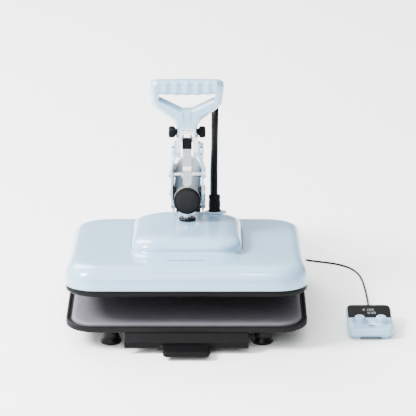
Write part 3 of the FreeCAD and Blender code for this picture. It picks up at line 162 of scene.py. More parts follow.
def make_materials():
    """One finish for each material slot of the record."""
    return {
        "blue_shell": surface("blue_shell", BLUE, (0.16, 0.24), coat=0.5, grain=9,
                              fine=500, bump=0.03, tint=0.012),
        "blue_metal": surface("blue_metal", BLUE, (0.26, 0.38), coat=0.2, grain=30,
                              fine=1400, bump=0.12, tint=0.02),
        "black_plastic": surface("black_plastic", BLACK, (0.42, 0.56), grain=50, fine=1800,
                                 bump=0.25, tint=0.15, specular=0.06),
        "black_metal": surface("black_metal", (0.006, 0.006, 0.0063), (0.4, 0.54), grain=40,
                               fine=1500, bump=0.3, tint=0.12, specular=0.08),
        "rubber": surface("rubber", (0.005, 0.005, 0.0055), (0.36, 0.52), grain=60, fine=1600,
                          bump=0.2, tint=0.15, specular=0.1),
        "steel": surface("steel", (0.66, 0.67, 0.69), (0.2, 0.34), metal=1.0, grain=60,
                         fine=900, bump=0.08, tint=0.05),
        "aluminium": surface("aluminium", (0.74, 0.75, 0.77), (0.24, 0.42), metal=1.0,
                             grain=30, fine=600, bump=0.12, tint=0.04, stretch=(6, 1, 6)),
        "dark_aluminium": surface("dark_aluminium", (0.005, 0.005, 0.0053), (0.5, 0.62),
                                  grain=40, fine=1500, bump=0.2, tint=0.1, specular=0.05),
        "silicone": surface("silicone", (0.095, 0.091, 0.108), (0.55, 0.7), grain=25,
                            fine=700, bump=0.35, depth=0.0004, tint=0.06),
        "glass_black": surface("glass_black", BLACK, (0.3, 0.38), grain=15, fine=400,
                               bump=0.01, tint=0.1, specular=0.03),
        "wool": surface("wool", (0.78, 0.76, 0.7), (0.85, 0.95), grain=120, fine=900,
                        bump=0.8, depth=0.001, tint=0.08),
        "circuit": surface("circuit", (0.03, 0.16, 0.07), (0.35, 0.5), grain=150, fine=700,
                           bump=0.3, tint=0.2),
        "heater": surface("heater", (0.34, 0.32, 0.3), (0.3, 0.5), metal=0.9, grain=60,
                          fine=800, bump=0.2, tint=0.1),
    }


LOOKS = make_materials()

# Finishes that no slot has, for details printed on a part or set into it, and for painted shade in a seam, a slot
# and grooves.
DIGIT_WHITE = surface("digit_white", (0.3, 0.31, 0.32), (0.4, 0.5), grain=200, tint=0.02,
                      glow=0.05)
PRINT_GREY = surface("print_grey", (0.13, 0.17, 0.21), (0.4, 0.5), grain=80, tint=0.05)
# Painted shade: a dark blue-grey standing in for the shade inside the cover's seam and the controller's slot.
PAINTED_GAP_SHADE = surface("painted_gap_shade", (0.06, 0.075, 0.09), (0.5, 0.6), grain=80, tint=0.1)
CAP_GREY = surface("cap_grey", (0.011, 0.011, 0.0115), (0.5, 0.62), grain=50, fine=1500,
                   bump=0.2, tint=0.08, specular=0.04)
DISPLAY_GREY = surface("display_grey", (0.005, 0.005, 0.0053), (0.3, 0.4), grain=20, fine=500,
                       bump=0.02, tint=0.08, specular=0.03)
# Painted shade: a darker blue on the grip's neck ribs, standing in for the shade inside grooves.
PAINTED_GROOVE_SHADE = surface("painted_groove_shade", (0.11, 0.2, 0.3), (0.4, 0.5), grain=60, tint=0.05)
TUBE_STEEL = surface("tube_steel", (0.43, 0.415, 0.4), (0.36, 0.48), metal=0.5, grain=30,
                     fine=700, bump=0.12, tint=0.05)
BUTTON_GREY = surface("button_grey", (0.035, 0.05, 0.065), (0.4, 0.55), grain=60, tint=0.05)
GLOSS_RUBBER = surface("gloss_rubber", (0.003, 0.003, 0.0033), (0.2, 0.32), grain=60,
                       fine=1200, bump=0.08, tint=0.1, specular=0.12)


def dress_nodes():
    """Every CAD node gets the finish of its material slot; the arm's tube has its own."""
    for part in RECORD["subparts"]:
        mesh = NODES[part["node"]].data
        mesh.materials.clear()
        look = TUBE_STEEL if part["node"] == "arm_tube" else LOOKS[part["material_slot"]]
        mesh.materials.append(look)


# ---------------------------------------------------------------- making meshes

SMOOTH_ANGLE = math.radians(38)
MERGE_DISTANCE = 0.001


def new_mesh(name, points, faces):
    """A mesh from points and faces, with any faulty face dropped."""
    mesh = bpy.data.meshes.new(name)
    mesh.from_pydata([tuple(p) for p in points], [], faces)
    mesh.validate()
    return mesh


def tidy_mesh(mesh):
    """Merges doubled points, turns the faces outwards and smooths all but real edges."""
    work = bmesh.new()
    work.from_mesh(mesh)
    bmesh.ops.remove_doubles(work, verts=work.verts, dist=MERGE_DISTANCE)
    bmesh.ops.recalc_face_normals(work, faces=work.faces)
    work.to_mesh(mesh)
    work.free()
    for polygon in mesh.polygons:
        polygon.use_smooth = True
    mesh.set_sharp_from_angle(angle=SMOOTH_ANGLE)


def loft(name, rings, ends="caps"):
    """A skin over rings of equally many points: its ends capped, joined or open."""
    count = len(rings[0])
    points = [p for ring in rings for p in ring]
    faces = []
    spans = len(rings) if ends == "joined" else len(rings) - 1
    for i in range(spans):
        low, high = i * count, ((i + 1) % len(rings)) * count
        for j in range(count):
            k = (j + 1) % count
            faces.append((low + j, low + k, high + k, high + j))
    if ends == "caps":
        faces.append(tuple(range(count))[::-1])
        last = (len(rings) - 1) * count
        faces.append(tuple(range(last, last + count)))
    return new_mesh(name, points, faces)


def rounded_ring(half_width, front, rear, radius, z, corner=8, straight=6):
    """A rounded rectangle seen from above; z is a height or a function of y."""
    height = z if callable(z) else (lambda y: z)
    half_span = (rear - front) / 2
    radius = max(0.5, min(radius, half_width - 0.1, half_span - 0.1))
    plan = []
    for sx, sy, start in ((1, -1, -90), (1, 1, 0), (-1, 1, 90), (-1, -1, 180)):
        cx = sx * (half_width - radius)
        cy = (front + rear) / 2 + sy * (half_span - radius)
        for i in range(corner + 1):
            angle = math.radians(start + 90 * i / corner)
            plan.append(Vector((cx + radius * math.cos(angle),
                                cy + radius * math.sin(angle))))
    ring = []
    for i, here in enumerate(plan):
        ring.append(here)
        if i % (corner + 1) == corner:
            after = plan[(i + 1) % len(plan)]
            ring += [here.lerp(after, k / straight) for k in range(1, straight)]
    return [Vector((p.x, p.y, height(p.y))) for p in ring]


def circle_ring_like(ring, centre, radius, z):
    """A circle whose points face the same way as those of another ring."""
    middle = sum((Vector((p.x, p.y)) for p in ring), Vector((0, 0))) / len(ring)
    points = []
    for p in ring:
        away = (Vector((p.x, p.y)) - middle).normalized()
        points.append(Vector((centre[0] + radius * away.x, centre[1] + radius * away.y, z)))
    return points


def turned_ring(radius, z, segments, lobes=0, lobe_depth=0.0):
    """A circle about Z, with its edge waved by lobes."""
    ring = []
    for i in range(segments):
        angle = 2 * math.pi * i / segments
        r = radius + lobe_depth * math.cos(lobes * angle)
        ring.append(Vector((r * math.cos(angle), r * math.sin(angle), z)))
    return ring


def lathe(name, profile, segments=48, lobes=0, lobe_depth=0.0):
    """A turned solid about Z from (radius, height) pairs, bottom to top."""
    rings = [turned_ring(r, z, segments, lobes, lobe_depth * (r / profile[1][0]))
             for r, z in profile]
    return loft(name, rings)


def ring_body(name, profile, segments=48, lobes=0, lobe_depth=0.0):
    """A turned ring about Z from a closed section of (radius, height) pairs."""
    widest = max(r for r, z in profile)
    rings = [turned_ring(r, z, segments, lobes, lobe_depth if r > 0.8 * widest else 0.0)
             for r, z in profile]
    return loft(name, rings, ends="joined")


def rounded(points, steps=6):
    """An outline whose corners are arcs, from (x, y, corner radius) points."""
    outline = []
    count = len(points)
    for i, (x, y, radius) in enumerate(points):
        here = Vector((x, y))
        back = Vector(points[i - 1][:2]) - here
        ahead = Vector(points[(i + 1) % count][:2]) - here
        half = back.angle(ahead) / 2
        reach = min(radius / math.tan(half), 0.49 * min(back.length, ahead.length))
        arc_radius = reach * math.tan(half)
        middle = here + (back.normalized() + ahead.normalized()).normalized() * (
            arc_radius / math.sin(half))
        start = here + back.normalized() * reach - middle
        turn = (here + ahead.normalized() * reach - middle).angle_signed(start)
        for k in range(steps + 1):
            angle = turn * k / steps
            outline.append(middle + Matrix.Rotation(angle, 2) @ start)
    return outline


def plate(name, outlines, thickness, bevel, resolution=3):
    """A plate in X and Y about Z = 0, its edges rounded; later outlines are holes."""
    curve = bpy.data.curves.new(name, "CURVE")
    curve.dimensions = "2D"
    curve.fill_mode = "BOTH"
    curve.extrude = thickness / 2 - bevel
    curve.bevel_depth = bevel
    curve.bevel_resolution = resolution
    curve.offset = -bevel
    for outline in outlines:
        spline = curve.splines.new("POLY")
        spline.points.add(len(outline) - 1)
        for point, p in zip(spline.points, outline):
            point.co = (p.x, p.y, 0, 1)
        spline.use_cyclic_u = True
    holder = bpy.data.objects.new(name, curve)
    bpy.context.scene.collection.objects.link(holder)
    bpy.context.view_layer.update()
    shape = holder.evaluated_get(bpy.context.evaluated_depsgraph_get())
    mesh = bpy.data.meshes.new_from_object(shape)
    bpy.data.objects.remove(holder)
    bpy.data.curves.remove(curve)
    return mesh


def rounded_box(name, x, y, z, bevel=1.0):
    """A block with rounded edges between three pairs of limits."""
    outline = rounded([(x[0], y[0], bevel), (x[1], y[0], bevel), (x[1], y[1], bevel),
                       (x[0], y[1], bevel)], steps=3)
    mesh = plate(name, [outline], z[1] - z[0], min(bevel, (z[1] - z[0]) / 2.2), 2)
    mesh.transform(at(0, 0, (z[0] + z[1]) / 2))
    return mesh


def joined(name, meshes):
    """Several meshes as one."""
    work = bmesh.new()
    for mesh in meshes:
        work.from_mesh(mesh)
    result = bpy.data.meshes.new(name)
    work.to_mesh(result)
    work.free()
    return result


def piece(name, mesh, place, body, slot, look=None, instead_of=(), local=AXIS_Z):
    """Puts a mesh in its place, dresses it and hands it to its body."""
    mesh.transform(local)
    tidy_mesh(mesh)
    mesh.transform(place)
    mesh.materials.clear()
    mesh.materials.append(look or LOOKS[slot])
    thing = bpy.data.objects.new(name, mesh)
    bpy.context.scene.collection.objects.link(thing)
    if instead_of:
        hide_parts(*instead_of)
    if body:
        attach(thing, body)
    return thing


# ---------------------------------------------------------------- cords

CORD_ROUTE = [
    (92, 530, 44), (110, 530, 44), (127, 527, 33), (140, 520, 17), (156, 510, 5),
    (176, 494, 1.8), (198, 472, 1.8), (224, 453, 1.8), (255, 443, 1.8), (284, 431, 1.8),
    (306, 410, 1.8), (319, 380, 1.8), (324, 342, 1.8), (326, 300, 1.8), (327, 259, 1.8),
    (327, 229, 2.4), (326.5, 208, 6.6), (326, 188, 12), (326, 169, 12),
]
CONDUIT_ROUTE = [
    (49, 293.8, 162.1), (49, 298.3, 203.4), (49.2, 303.2, 240), (49.5, 310.5, 273),
    (49.7, 331, 305), (50, 365, 325.5), (50, 406, 325), (49.9, 440, 304), (49.7, 460, 270),
    (49.4, 464, 235), (49, 471, 211), (48.5, 483, 190), (48, 498, 171), (47.5, 510.5, 151),
    (47.1, 518, 128), (47, 520.5, 100), (47, 520.5, 74),
]
CORD_RADIUS, CONDUIT_RADIUS = 0.0017, 0.0065
WAVE_LENGTH, WAVE_DEPTH, RINGS_PER_WAVE = 0.0041, 0.0016, 6


def route_curve(name, route, resolution):
    """One smooth NURBS spline with the route's points, in metres."""
    data = bpy.data.curves.new(name, "CURVE")
    data.dimensions = "3D"
    data.resolution_u = resolution
    spline = data.splines.new("NURBS")
    spline.points.add(len(route) - 1)
    for point, place in zip(spline.points, route):
        point.co = (*row_point(*place), 1)
    spline.order_u = 3
    spline.use_endpoint_u = True
    curve = bpy.data.objects.new(name, data)
    bpy.context.scene.collection.objects.link(curve)
    return curve


def points_along(curve, step):
    """Points about a step apart, evenly spaced, read from a curve that has no bevel."""
    bpy.context.view_layer.update()
    shape = curve.evaluated_get(bpy.context.evaluated_depsgraph_get())
    mesh = bpy.data.meshes.new_from_object(shape)
    line = [v.co.copy() for v in mesh.vertices]
    bpy.data.meshes.remove(mesh)
    total = sum((b - a).length for a, b in zip(line, line[1:]))
    count = round(total / step)
    spaced, walked, target = [line[0]], 0.0, total / count
    for a, b in zip(line, line[1:]):
        span = (b - a).length
        while target <= walked + span and len(spaced) < count:
            spaced.append(a.lerp(b, (target - walked) / span))
            target += total / count
        walked += span
    return spaced + [line[-1]]


def tube_along(name, path, radius_at, sides=24):
    """A closed tube round a path; radius_at gives its radius at each path point."""
    rings = []
    across = Vector((1, 0, 0))
    for i, here in enumerate(path):
        ahead = (path[min(i + 1, len(path) - 1)] - path[max(i - 1, 0)]).normalized()
        across = (across - ahead * across.dot(ahead)).normalized()
        other = ahead.cross(across)
        r = radius_at(i)
        rings.append([here + (across * math.cos(t) + other * math.sin(t)) * r
                      for t in (2 * math.pi * k / sides for k in range(sides))])
    return loft(name, rings)


def make_cord():
    """The thin cord from the rear box round the press to the controller."""
    cord = route_curve("controller_lead", CORD_ROUTE, 12)
    cord.data.bevel_depth = CORD_RADIUS
    cord.data.bevel_resolution = 5
    cord.data.use_fill_caps = True
    cord.data.materials.append(LOOKS["rubber"])
    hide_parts("controller_cord")
    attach(cord, "base")


def make_conduit():
    """A corrugated tube that bends between the arm and the rear box."""
    guide = route_curve("conduit_guide", CONDUIT_ROUTE, 24)
    path = points_along(guide, WAVE_LENGTH / RINGS_PER_WAVE)
    bpy.data.objects.remove(guide)

    def radius_at(i):
        wave = math.cos(2 * math.pi * i / RINGS_PER_WAVE)
        return CONDUIT_RADIUS - WAVE_DEPTH * (1 - wave) / 2

    # The path is in metres, and piece() tidies a mesh in millimetres.
    mesh = tube_along("conduit_tube", path, radius_at)
    mesh.transform(Matrix.Scale(1 / MM, 4))
    tube = piece("conduit_tube", mesh, Matrix.Scale(MM, 4), None, "black_plastic",
                 look=GLOSS_RUBBER, instead_of=("conduit",))
    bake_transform(tube)


# ---------------------------------------------------------------- lid

LID_HALF_WIDTH, LID_DEPTH, LID_RADIUS = 210, 400, 57
LID_BOTTOM, LID_TOP = 62, 103.5
BEZEL_BOTTOM = 50.5
OPENING_HALF_WIDTH, OPENING_FRONT, OPENING_REAR, OPENING_RADIUS = 84, 96, 306, 30
SCREW_Y = 235
SHOULDER_POWER = 2.3


def lid_ring(inset, z):
    """The lid's outline drawn in by an inset; its corners stay generous."""
    return rounded_ring(LID_HALF_WIDTH - inset, inset, LID_DEPTH - inset,
                        max(LID_RADIUS - 0.4 * inset, 42), z)


def shoulder(start, end, steps):
    """(inset, height) pairs along a soft quarter turn from a wall to a flat top."""
    pairs = []
    for i in range(1, steps + 1):
        t = math.radians(90 * i / steps)
        across = 1 - math.cos(t) ** (2 / SHOULDER_POWER) if i < steps else 1
        rise = math.sin(t) ** (2 / SHOULDER_POWER)
        pairs.append((start[0] + (end[0] - start[0]) * across,
                      start[1] + (end[1] - start[1]) * rise))
    return pairs


def make_lid():
    """The blue shell, open below and in the middle, and the black rim under it."""
    wall = [(1.4, LID_BOTTOM), (0.5, LID_BOTTOM + 1), (0.05, LID_BOTTOM + 3.5),
            (0, LID_BOTTOM + 8)]
    wall += shoulder((0, LID_BOTTOM + 12), (28, LID_TOP - 1), 10)
    wall += [(45, LID_TOP - 0.6), (75, LID_TOP - 0.2)]
    rings = [lid_ring(inset, z) for inset, z in wall]
    opening = [rounded_ring(OPENING_HALF_WIDTH, OPENING_FRONT, OPENING_REAR, OPENING_RADIUS, z)
               for z in (LID_TOP, LID_TOP - 3)]
    inside = [lid_ring(30, LID_TOP - 4.5), lid_ring(8, LID_TOP - 22), lid_ring(6, LID_BOTTOM)]
    piece("lid_shell", loft("lid_shell", rings + opening + inside, "joined"), ON_ARM,
          "head", "blue_shell", instead_of=("lid_cover",))
    section = [(1.2, LID_BOTTOM), (0.9, LID_BOTTOM - 1.2), (1.0, 56.5), (1.9, 53.6),
               (4.2, 51.4), (8, BEZEL_BOTTOM), (12.6, BEZEL_BOTTOM), (14, 51.6),
               (14, LID_BOTTOM)]
    rim = [lid_ring(inset, z) for inset, z in section]
    piece("lid_rim", loft("lid_rim", rim, "joined"), ON_ARM, "head", "black_plastic",
          instead_of=("lid_bezel",))


HUMP_HALF_WIDTH, HUMP_FRONT, HUMP_REAR, HUMP_TOP = 98, 82, 322, 132.5
HUMP_RADIUS = 44
FLARE, FLARE_HEIGHT, FLARE_STEPS = 14, 10, 8


def hump_ring(inset, z, flare=0.0):
    """A ring of the centre cover; the flare spreads its foot at the front only."""
    ring = rounded_ring(HUMP_HALF_WIDTH - inset, HUMP_FRONT + inset,
                        HUMP_REAR - 0.5 * inset, max(HUMP_RADIUS - 0.3 * inset, 30), z,
                        corner=10)
    middle = (HUMP_FRONT + HUMP_REAR) / 2
    for p in ring:
        forward = max(0.0, (middle - p.y) / (middle - HUMP_FRONT))
        p.y -= flare * forward ** 4
        p.x *= 1 + 0.0006 * flare * forward ** 4
    return ring


def make_hump():
    """The centre cover, from its flared foot up to the hole for the screw, and a dark strip of painted shade at
    its seam.
    """
    foot = [hump_ring(0, LID_TOP - 1.5, FLARE)]
    for i in range(FLARE_STEPS + 1):
        share = i / FLARE_STEPS
        rise = FLARE_HEIGHT * share ** 1.6
        foot.append(hump_ring(share, LID_TOP - 0.3 + rise,
                              FLARE * (1 - rise / FLARE_HEIGHT) ** 3))
    side = [hump_ring(inset, z) for inset, z in
            shoulder((1.2, LID_TOP + FLARE_HEIGHT), (46, HUMP_TOP - 0.3), 14)]
    crown = [hump_ring(54, HUMP_TOP - 0.1)]
    hole = [circle_ring_like(crown[0], (0, SCREW_Y), radius, z) for radius, z in
            ((22, HUMP_TOP), (10.2, HUMP_TOP), (9.6, HUMP_TOP - 0.8), (9.6, HUMP_TOP - 3))]
    inside = [hump_ring(inset, z) for inset, z in
              ((48, HUMP_TOP - 3.5), (16, LID_TOP + 14), (6, LID_TOP + 6),
               (6, LID_TOP - 1.5))]
    rings = foot + side + crown + hole + inside
    piece("centre_hump", loft("centre_hump", rings, "joined"), ON_ARM, "head", "blue_shell",
          instead_of=("centre_cover",))
    # A thin dark strip of painted shade, standing in for the shaded gap where the cover's foot meets the lid.
    seam = [rounded_ring(HUMP_HALF_WIDTH + grow, HUMP_FRONT + 36, HUMP_REAR - 10,
                         HUMP_RADIUS - 20, LID_TOP + rise)
            for grow, rise in ((-3, -1), (1.1, -1), (1.1, 0.35), (-3, 0.35))]
    piece("hump_seam_shade", loft("hump_seam_shade", seam, "joined"), ON_ARM, "head", "black_plastic",
          look=PAINTED_GAP_SHADE)


def make_lid_marks():
    """A plain bar and two small rings, printed in front of the centre cover."""
    bar = rounded([(-33, -1, 0.9), (33, -1, 0.9), (33, 1, 0.9), (-33, 1, 0.9)], 4)
    mesh = plate("lid_mark_bar", [bar], 0.4, 0.1, 1)
    piece("lid_mark_bar", mesh, ON_ARM @ at(-2, 56, LID_TOP - 0.2), "head", "blue_shell",
          look=PRINT_GREY)
    for i, x in enumerate((-9, 5)):
        dot = ring_body(f"lid_mark_ring_{i}", [(1.2, 0), (2.3, 0), (2.3, 0.5), (1.2, 0.5)], 24)
        piece(f"lid_mark_ring_{i}", dot, ON_ARM @ at(x, 46, LID_TOP - 0.7), "head",
              "blue_shell", look=PRINT_GREY)


# ---------------------------------------------------------------- gland and screw

CONDUIT_X, CONDUIT_Y = 49, 296
GLAND_TOP, GLAND_RIBS = 166, 8


def make_gland():
    """The plate, the boss under it, its screw and the ribbed barrel that holds the conduit."""
    outline = rounded([(-18.5, -3, 3), (-8, -12, 8), (8, -12, 8), (21, -5.5, 5),
                       (21, 5.5, 5), (8, 12, 8), (-8, 12, 8), (-18.5, 3, 3)])
    flange = plate("gland_plate", [outline], 3.5, 1.1)
    at_gland = ON_ARM @ at(CONDUIT_X, CONDUIT_Y, HUMP_TOP + 1.6)
    piece("gland_plate", flange, at_gland, "head", "blue_shell", instead_of=("gland_flange",))
    on_axis = ON_ARM @ at(CONDUIT_X, CONDUIT_Y, 0)
    boss = lathe("gland_boss", [(9.8, LID_TOP), (9.4, 124), (9.8, HUMP_TOP - 2),
                                (11, HUMP_TOP + 0.4)])
    piece("gland_boss", boss, on_axis, "head", "blue_shell")
    screw = lathe("gland_screw", [(2.6, 0), (2.6, 0.8), (2.0, 1.5), (0.8, 1.7)], 24)
    piece("gland_screw", screw, at_gland @ at(16.5, 0, 1.6), "head", "steel")
    base = HUMP_TOP + 3.2
    body = ring_body("gland_barrel", [
        (7.1, base), (11.8, base), (11.8, base + 1.5), (10.6, base + 3.6), (10, base + 6),
        (10, base + 22), (10.3, base + 22.6), (10.6, base + 24), (10.6, GLAND_TOP - 1.2),
        (9.8, GLAND_TOP), (7.1, GLAND_TOP)])
    piece("gland_barrel", body, on_axis, "head", "black_plastic",
          instead_of=("conduit_gland",))
    ribs = []
    for i in range(GLAND_RIBS):
        rib = rounded_box("gland_rib", (9.4, 10.7), (-0.9, 0.9), (base + 6, base + 20), 0.4)
        rib.transform(Matrix.Rotation(2 * math.pi * i / GLAND_RIBS, 4, "Z"))
        ribs.append(rib)
    piece("gland_ribs", joined("gland_ribs", ribs), on_axis, "head", "black_plastic")


def make_ring_nut():
    """A knurled ring round the pressure screw."""
    section = [(7.1, 132.8), (12.6, 132.8), (14.6, 133.4), (15.4, 134.6), (15.5, 135.8),
               (15.3, 137), (14.3, 138.2), (12.4, 138.6), (7.6, 138.6), (7.1, 138.2)]
    nut = ring_body("ring_nut", section, segments=144, lobes=24, lobe_depth=0.18)
    piece("ring_nut", nut, ON_ARM @ at(0, SCREW_Y, 0), "ring_nut", "black_metal",
          look=GLOSS_RUBBER, instead_of=("pressure_nut",))


def make_saddle_block():
    """A black block beside the screw, under the right side of the tube."""
    block = rounded_box("saddle_block", (13.5, 22.5), (238, 258), (150.5, 172), 1)
    piece("saddle_block", block, ON_ARM, "arm", "black_metal")


def make_end_cap():
    """A dark cap with a rounded rim round a flat grey face."""
    profile = [(20.8, 225), (20.8, 217.2), (24.1, 217), (24.2, 215), (23.8, 213),
               (22.8, 211.6), (21.2, 211), (19, 210.9)]
    cap = lathe("tube_cap", profile, 64)
    place = ON_ARM @ at(0, 0, HINGE_Z)
    piece("tube_cap", cap, place, "arm", "black_plastic", instead_of=("tube_end_cap",),
          local=AXIS_Y)
    face = lathe("tube_cap_face", [(20, 211.2), (20, 210.8), (19.4, 210.4), (6, 210.35)], 64)
    piece("tube_cap_face", face, place, "arm", "black_plastic", look=CAP_GREY,
          local=AXIS_Y)


# ---------------------------------------------------------------- lever

LEVER_Y, LEVER_Z = 240, 288
GRIP_HALF_DEPTH = 13
ON_LEVER = FIXED @ at(0, LEVER_Y, LEVER_Z)

# Right halves of the grip's outline, measured from the lever's pivot, at its wide back and
# at its narrow front, and the opening that the fingers go through.
GRIP_BACK_HALF = [(56, 128.6, 5), (64.6, 124, 4), (65.6, 118, 8), (62.3, 87, 8),
                  (51.5, 76, 10), (25, 57, 8), (18.4, 46, 6), (16.2, 28.4, 1.2),
                  (13.7, 28, 0.8), (13.7, 44, 4)]
GRIP_FRONT_HALF = [(52.5, 127.4, 4), (57.4, 123, 4), (58, 117, 6), (55, 91, 7),
                   (47.5, 83, 9), (19, 63.5, 8), (15.8, 47, 6), (15.2, 29, 1),
                   (13.7, 28.6, 0.7), (13.7, 44, 4)]
GRIP_OPENING = [(-50, 125, 1), (-50, 97, 6), (-9, 76.4, 8), (9, 76.4, 8), (50, 97, 6),
                (50, 125, 1)]
GRIP_MIDDLE, OPENING_FLARE, SLOPE_START, LIP_SHARE = 103, 1.2, 0.1, 0.88


def both_sides(half):
    """A closed outline from its right half."""
    return half + [(-x, y, r) for x, y, r in reversed(half)]


def flared_opening():
    """The opening at the grip's front, where it is a little wider all round."""
    return [(x + math.copysign(OPENING_FLARE, x),
             y + math.copysign(OPENING_FLARE, y - GRIP_MIDDLE), r)
            for x, y, r in GRIP_OPENING]


def grip_wall(back, front):
    """A wall that runs straight from the back, then slopes to the front's outline."""
    depth = GRIP_HALF_DEPTH
    loops = []
    for share, y in ((0, depth), (0, SLOPE_START * depth), (LIP_SHARE, 1 - depth),
                     (1, -depth)):
        blend = [tuple(b + (f - b) * share for b, f in zip(*pair))
                 for pair in zip(back, front)]
        loops.append([Vector((p.x, y, p.y)) for p in rounded(blend)])
    return loft("grip_wall", loops, "open")


def grip_face(outline, hole, y):
    """The flat front or back of the grip."""
    face = plate("grip_face", [rounded(outline), rounded(hole)], 0, 0)
    face.transform(at(0, y, 0) @ UPRIGHT)
    return face


BAR_HALF, BAR_STEPS, FINGER_WIDTH = 53, 60, 19


def grip_section(x):
    """One section of the cross bar: a rounded rectangle with a waved front and underside."""
    fade = math.cos(math.radians(90 * min(1, abs(x) / (BAR_HALF + 2))))
    swell = 2.2 * fade
    finger = 1.5 * (math.cos(2 * math.pi * x / FINGER_WIDTH) - 0.4) * min(1, 2 * fade)
    front, rear, low, high = -15, 12.5, 107.5 - swell, 130.2 + 0.4 * swell
    outline = rounded([(front + 1.6 - 0.4 * finger, low - 0.4 * finger, 6),
                       (rear, low - 0.2 * finger, 6), (rear, high, 7),
                       (front - finger, high, 7)], 5)
    return [Vector((x, p.x, p.y)) for p in outline]


def make_grip():
    """The D-shaped frame, the waved bar across its top and two raised neck ribs in painted groove shade."""
    back, front = both_sides(GRIP_BACK_HALF), both_sides(GRIP_FRONT_HALF)
    opening = flared_opening()
    parts = [grip_wall(back, front), grip_wall(GRIP_OPENING, opening),
             grip_face(back, GRIP_OPENING, GRIP_HALF_DEPTH),
             grip_face(front, opening, -GRIP_HALF_DEPTH)]
    piece("grip_frame", joined("grip_frame", parts), ON_LEVER, "lever", "blue_shell",
          instead_of=("handle_grip",))
    sections = [grip_section(BAR_HALF * (2 * i / BAR_STEPS - 1))
                for i in range(BAR_STEPS + 1)]
    piece("grip_bar", loft("grip_bar", sections), ON_LEVER, "lever", "blue_shell")
    # The neck ribs are coloured with painted shade, standing in for shaded grooves.
    for side in (-1, 1):
        rib = plate("grip_rib", [rounded([(side * 8.4, 74, 0.4), (side * 7.0, 74, 0.4),
                                          (side * 4.2, 56, 0.4), (side * 5.0, 56, 0.4)], 3)],
                    1.2, 0.3, 2)
        piece(f"grip_rib_{side + 1}", rib, ON_LEVER @ at(0, -GRIP_HALF_DEPTH, 0), "lever",
              "blue_shell", look=PAINTED_GROOVE_SHADE, local=UPRIGHT)


CLAMP_BACK, CLAMP_Z, KNOB_START = 5, 33.3, 19


def make_clamp_knobs():
    """Six-lobed hand knobs, one on each side of the grip's fork."""
    profile = [(4.5, -1.6), (5.5, -1.4), (5.8, 1), (8.6, 3.4), (9.5, 4.6), (9.8, 6.2),
               (9.6, 11.4), (8.9, 12.8), (7.4, 13.8), (3.5, 14)]
    for name, side in (("left", -1), ("right", 1)):
        rings = [turned_ring(r, z, 72, 6, 1.0 if r > 8 else 0.3) for r, z in profile]
        knob = loft(f"knob_{name}", rings)
        turn = Matrix.Rotation(math.radians(90 * side), 4, "Y")
        stud = lathe(f"knob_stud_{name}", [(2.4, -14), (2.5, -13.6), (2.5, 0.5)], 24)
        whole = joined(f"knob_{name}", [knob, stud])
        place = ON_LEVER @ at(side * KNOB_START, CLAMP_BACK, CLAMP_Z)
        piece(f"knob_{name}", whole, place, f"knob_{name}", "black_plastic",
              instead_of=(f"clamp_knob_{name}",), local=turn)


# ---------------------------------------------------------------- fasteners

# Each bolt's y and z, and its head's radius and height.
BOLT_HEADS = [(462, 110, 6.5, 3.2), (494, 110, 6.5, 3.2), (462, 132, 6.5, 3.2),
              (494, 132, 6.5, 3.2), (250, 206, 5.5, 3.0)]
PLATE_OUTER_X, NECK_OUTER_X = 29, 22.5
PAD_INNER_X, PAD_OUTER_X = 19, 26
HEAD_SIDES = 36


def socket_head(name, radius, height):
    """A cap screw's head: a bevelled disc with a six-sided recess."""
    rings = [turned_ring(r, z, HEAD_SIDES) for r, z in
             ((radius + 1.6, -0.1), (radius + 1.6, 0.9), (radius, 0.9),
              (radius + 0.1, height - 0.8), (radius - 0.7, height + 0.1))]
    for reach, z in ((0.52 * radius, height + 0.1), (0.5 * radius, 0.4 * height)):
        ring = []
        for i in range(HEAD_SIDES):
            angle = 2 * math.pi * i / HEAD_SIDES
            wedge = (angle % (math.pi / 3)) - math.pi / 6
            r = reach / math.cos(wedge)
            ring.append(Vector((r * math.cos(angle), r * math.sin(angle), z)))
        rings.append(ring)
    return loft(name, rings)


def make_fasteners():
    """Screw heads and a washer on each side plate, and a pad inside it."""
    for side, word in ((-1, "left"), (1, "right")):
        turn = Matrix.Rotation(math.radians(90 * side), 4, "Y")
        heads = []
        for y, z, radius, height in BOLT_HEADS:
            head = socket_head("bolt_head", radius, height)
            head.transform(at(side * PLATE_OUTER_X, y, z) @ turn)
            heads.append(head)
        pivot = socket_head("pivot_head", 7.2, 4.5)
        pivot.transform(at(side * NECK_OUTER_X, LEVER_Y, LEVER_Z) @ turn)
        piece(f"bolt_heads_{word}", joined("bolt_heads", heads + [pivot]), FIXED, "base",
              "steel")
        low, high = PLATE_OUTER_X, PLATE_OUTER_X + 1.6
        washer = ring_body("hinge_washer", [(8, low), (14, low), (14, high), (8, high)], 40)
        piece(f"hinge_washer_{word}", washer, FIXED @ at(0, HINGE_Y, HINGE_Z), "base",
              "steel", local=turn)
        pad = rounded_box("frame_pad", sorted((side * PAD_INNER_X, side * PAD_OUTER_X)),
                          (228, 262), (199, 213), 1.2)
        piece(f"frame_pad_{word}", pad, FIXED, "base", "black_plastic")


# ---------------------------------------------------------------- base and drawer

FEET = [(-132, 45), (132, 45), (-132, 478), (132, 478)]


def make_feet():
    """Four flared rubber feet."""
    profile = [(15.5, 0), (17.4, 0.5), (18.4, 2.4), (18.4, 4), (17.6, 6.2), (15.9, 9.6),
               (14.7, 13.5), (14.2, 18), (14.2, 24.8), (13.4, 26)]
    for i, (x, y) in enumerate(FEET):
        foot = lathe(f"foot_{i}", profile)
        piece(f"foot_{i}", foot, FIXED @ at(x, y, 0), "base", "rubber", look=GLOSS_RUBBER,
              instead_of=("rubber_feet",))


TRAY_HALF_WIDTH, TRAY_DEPTH, TRAY_RADIUS = 210, 400, 50
TRAY_FLOOR, SKIRT_END = 38, 330


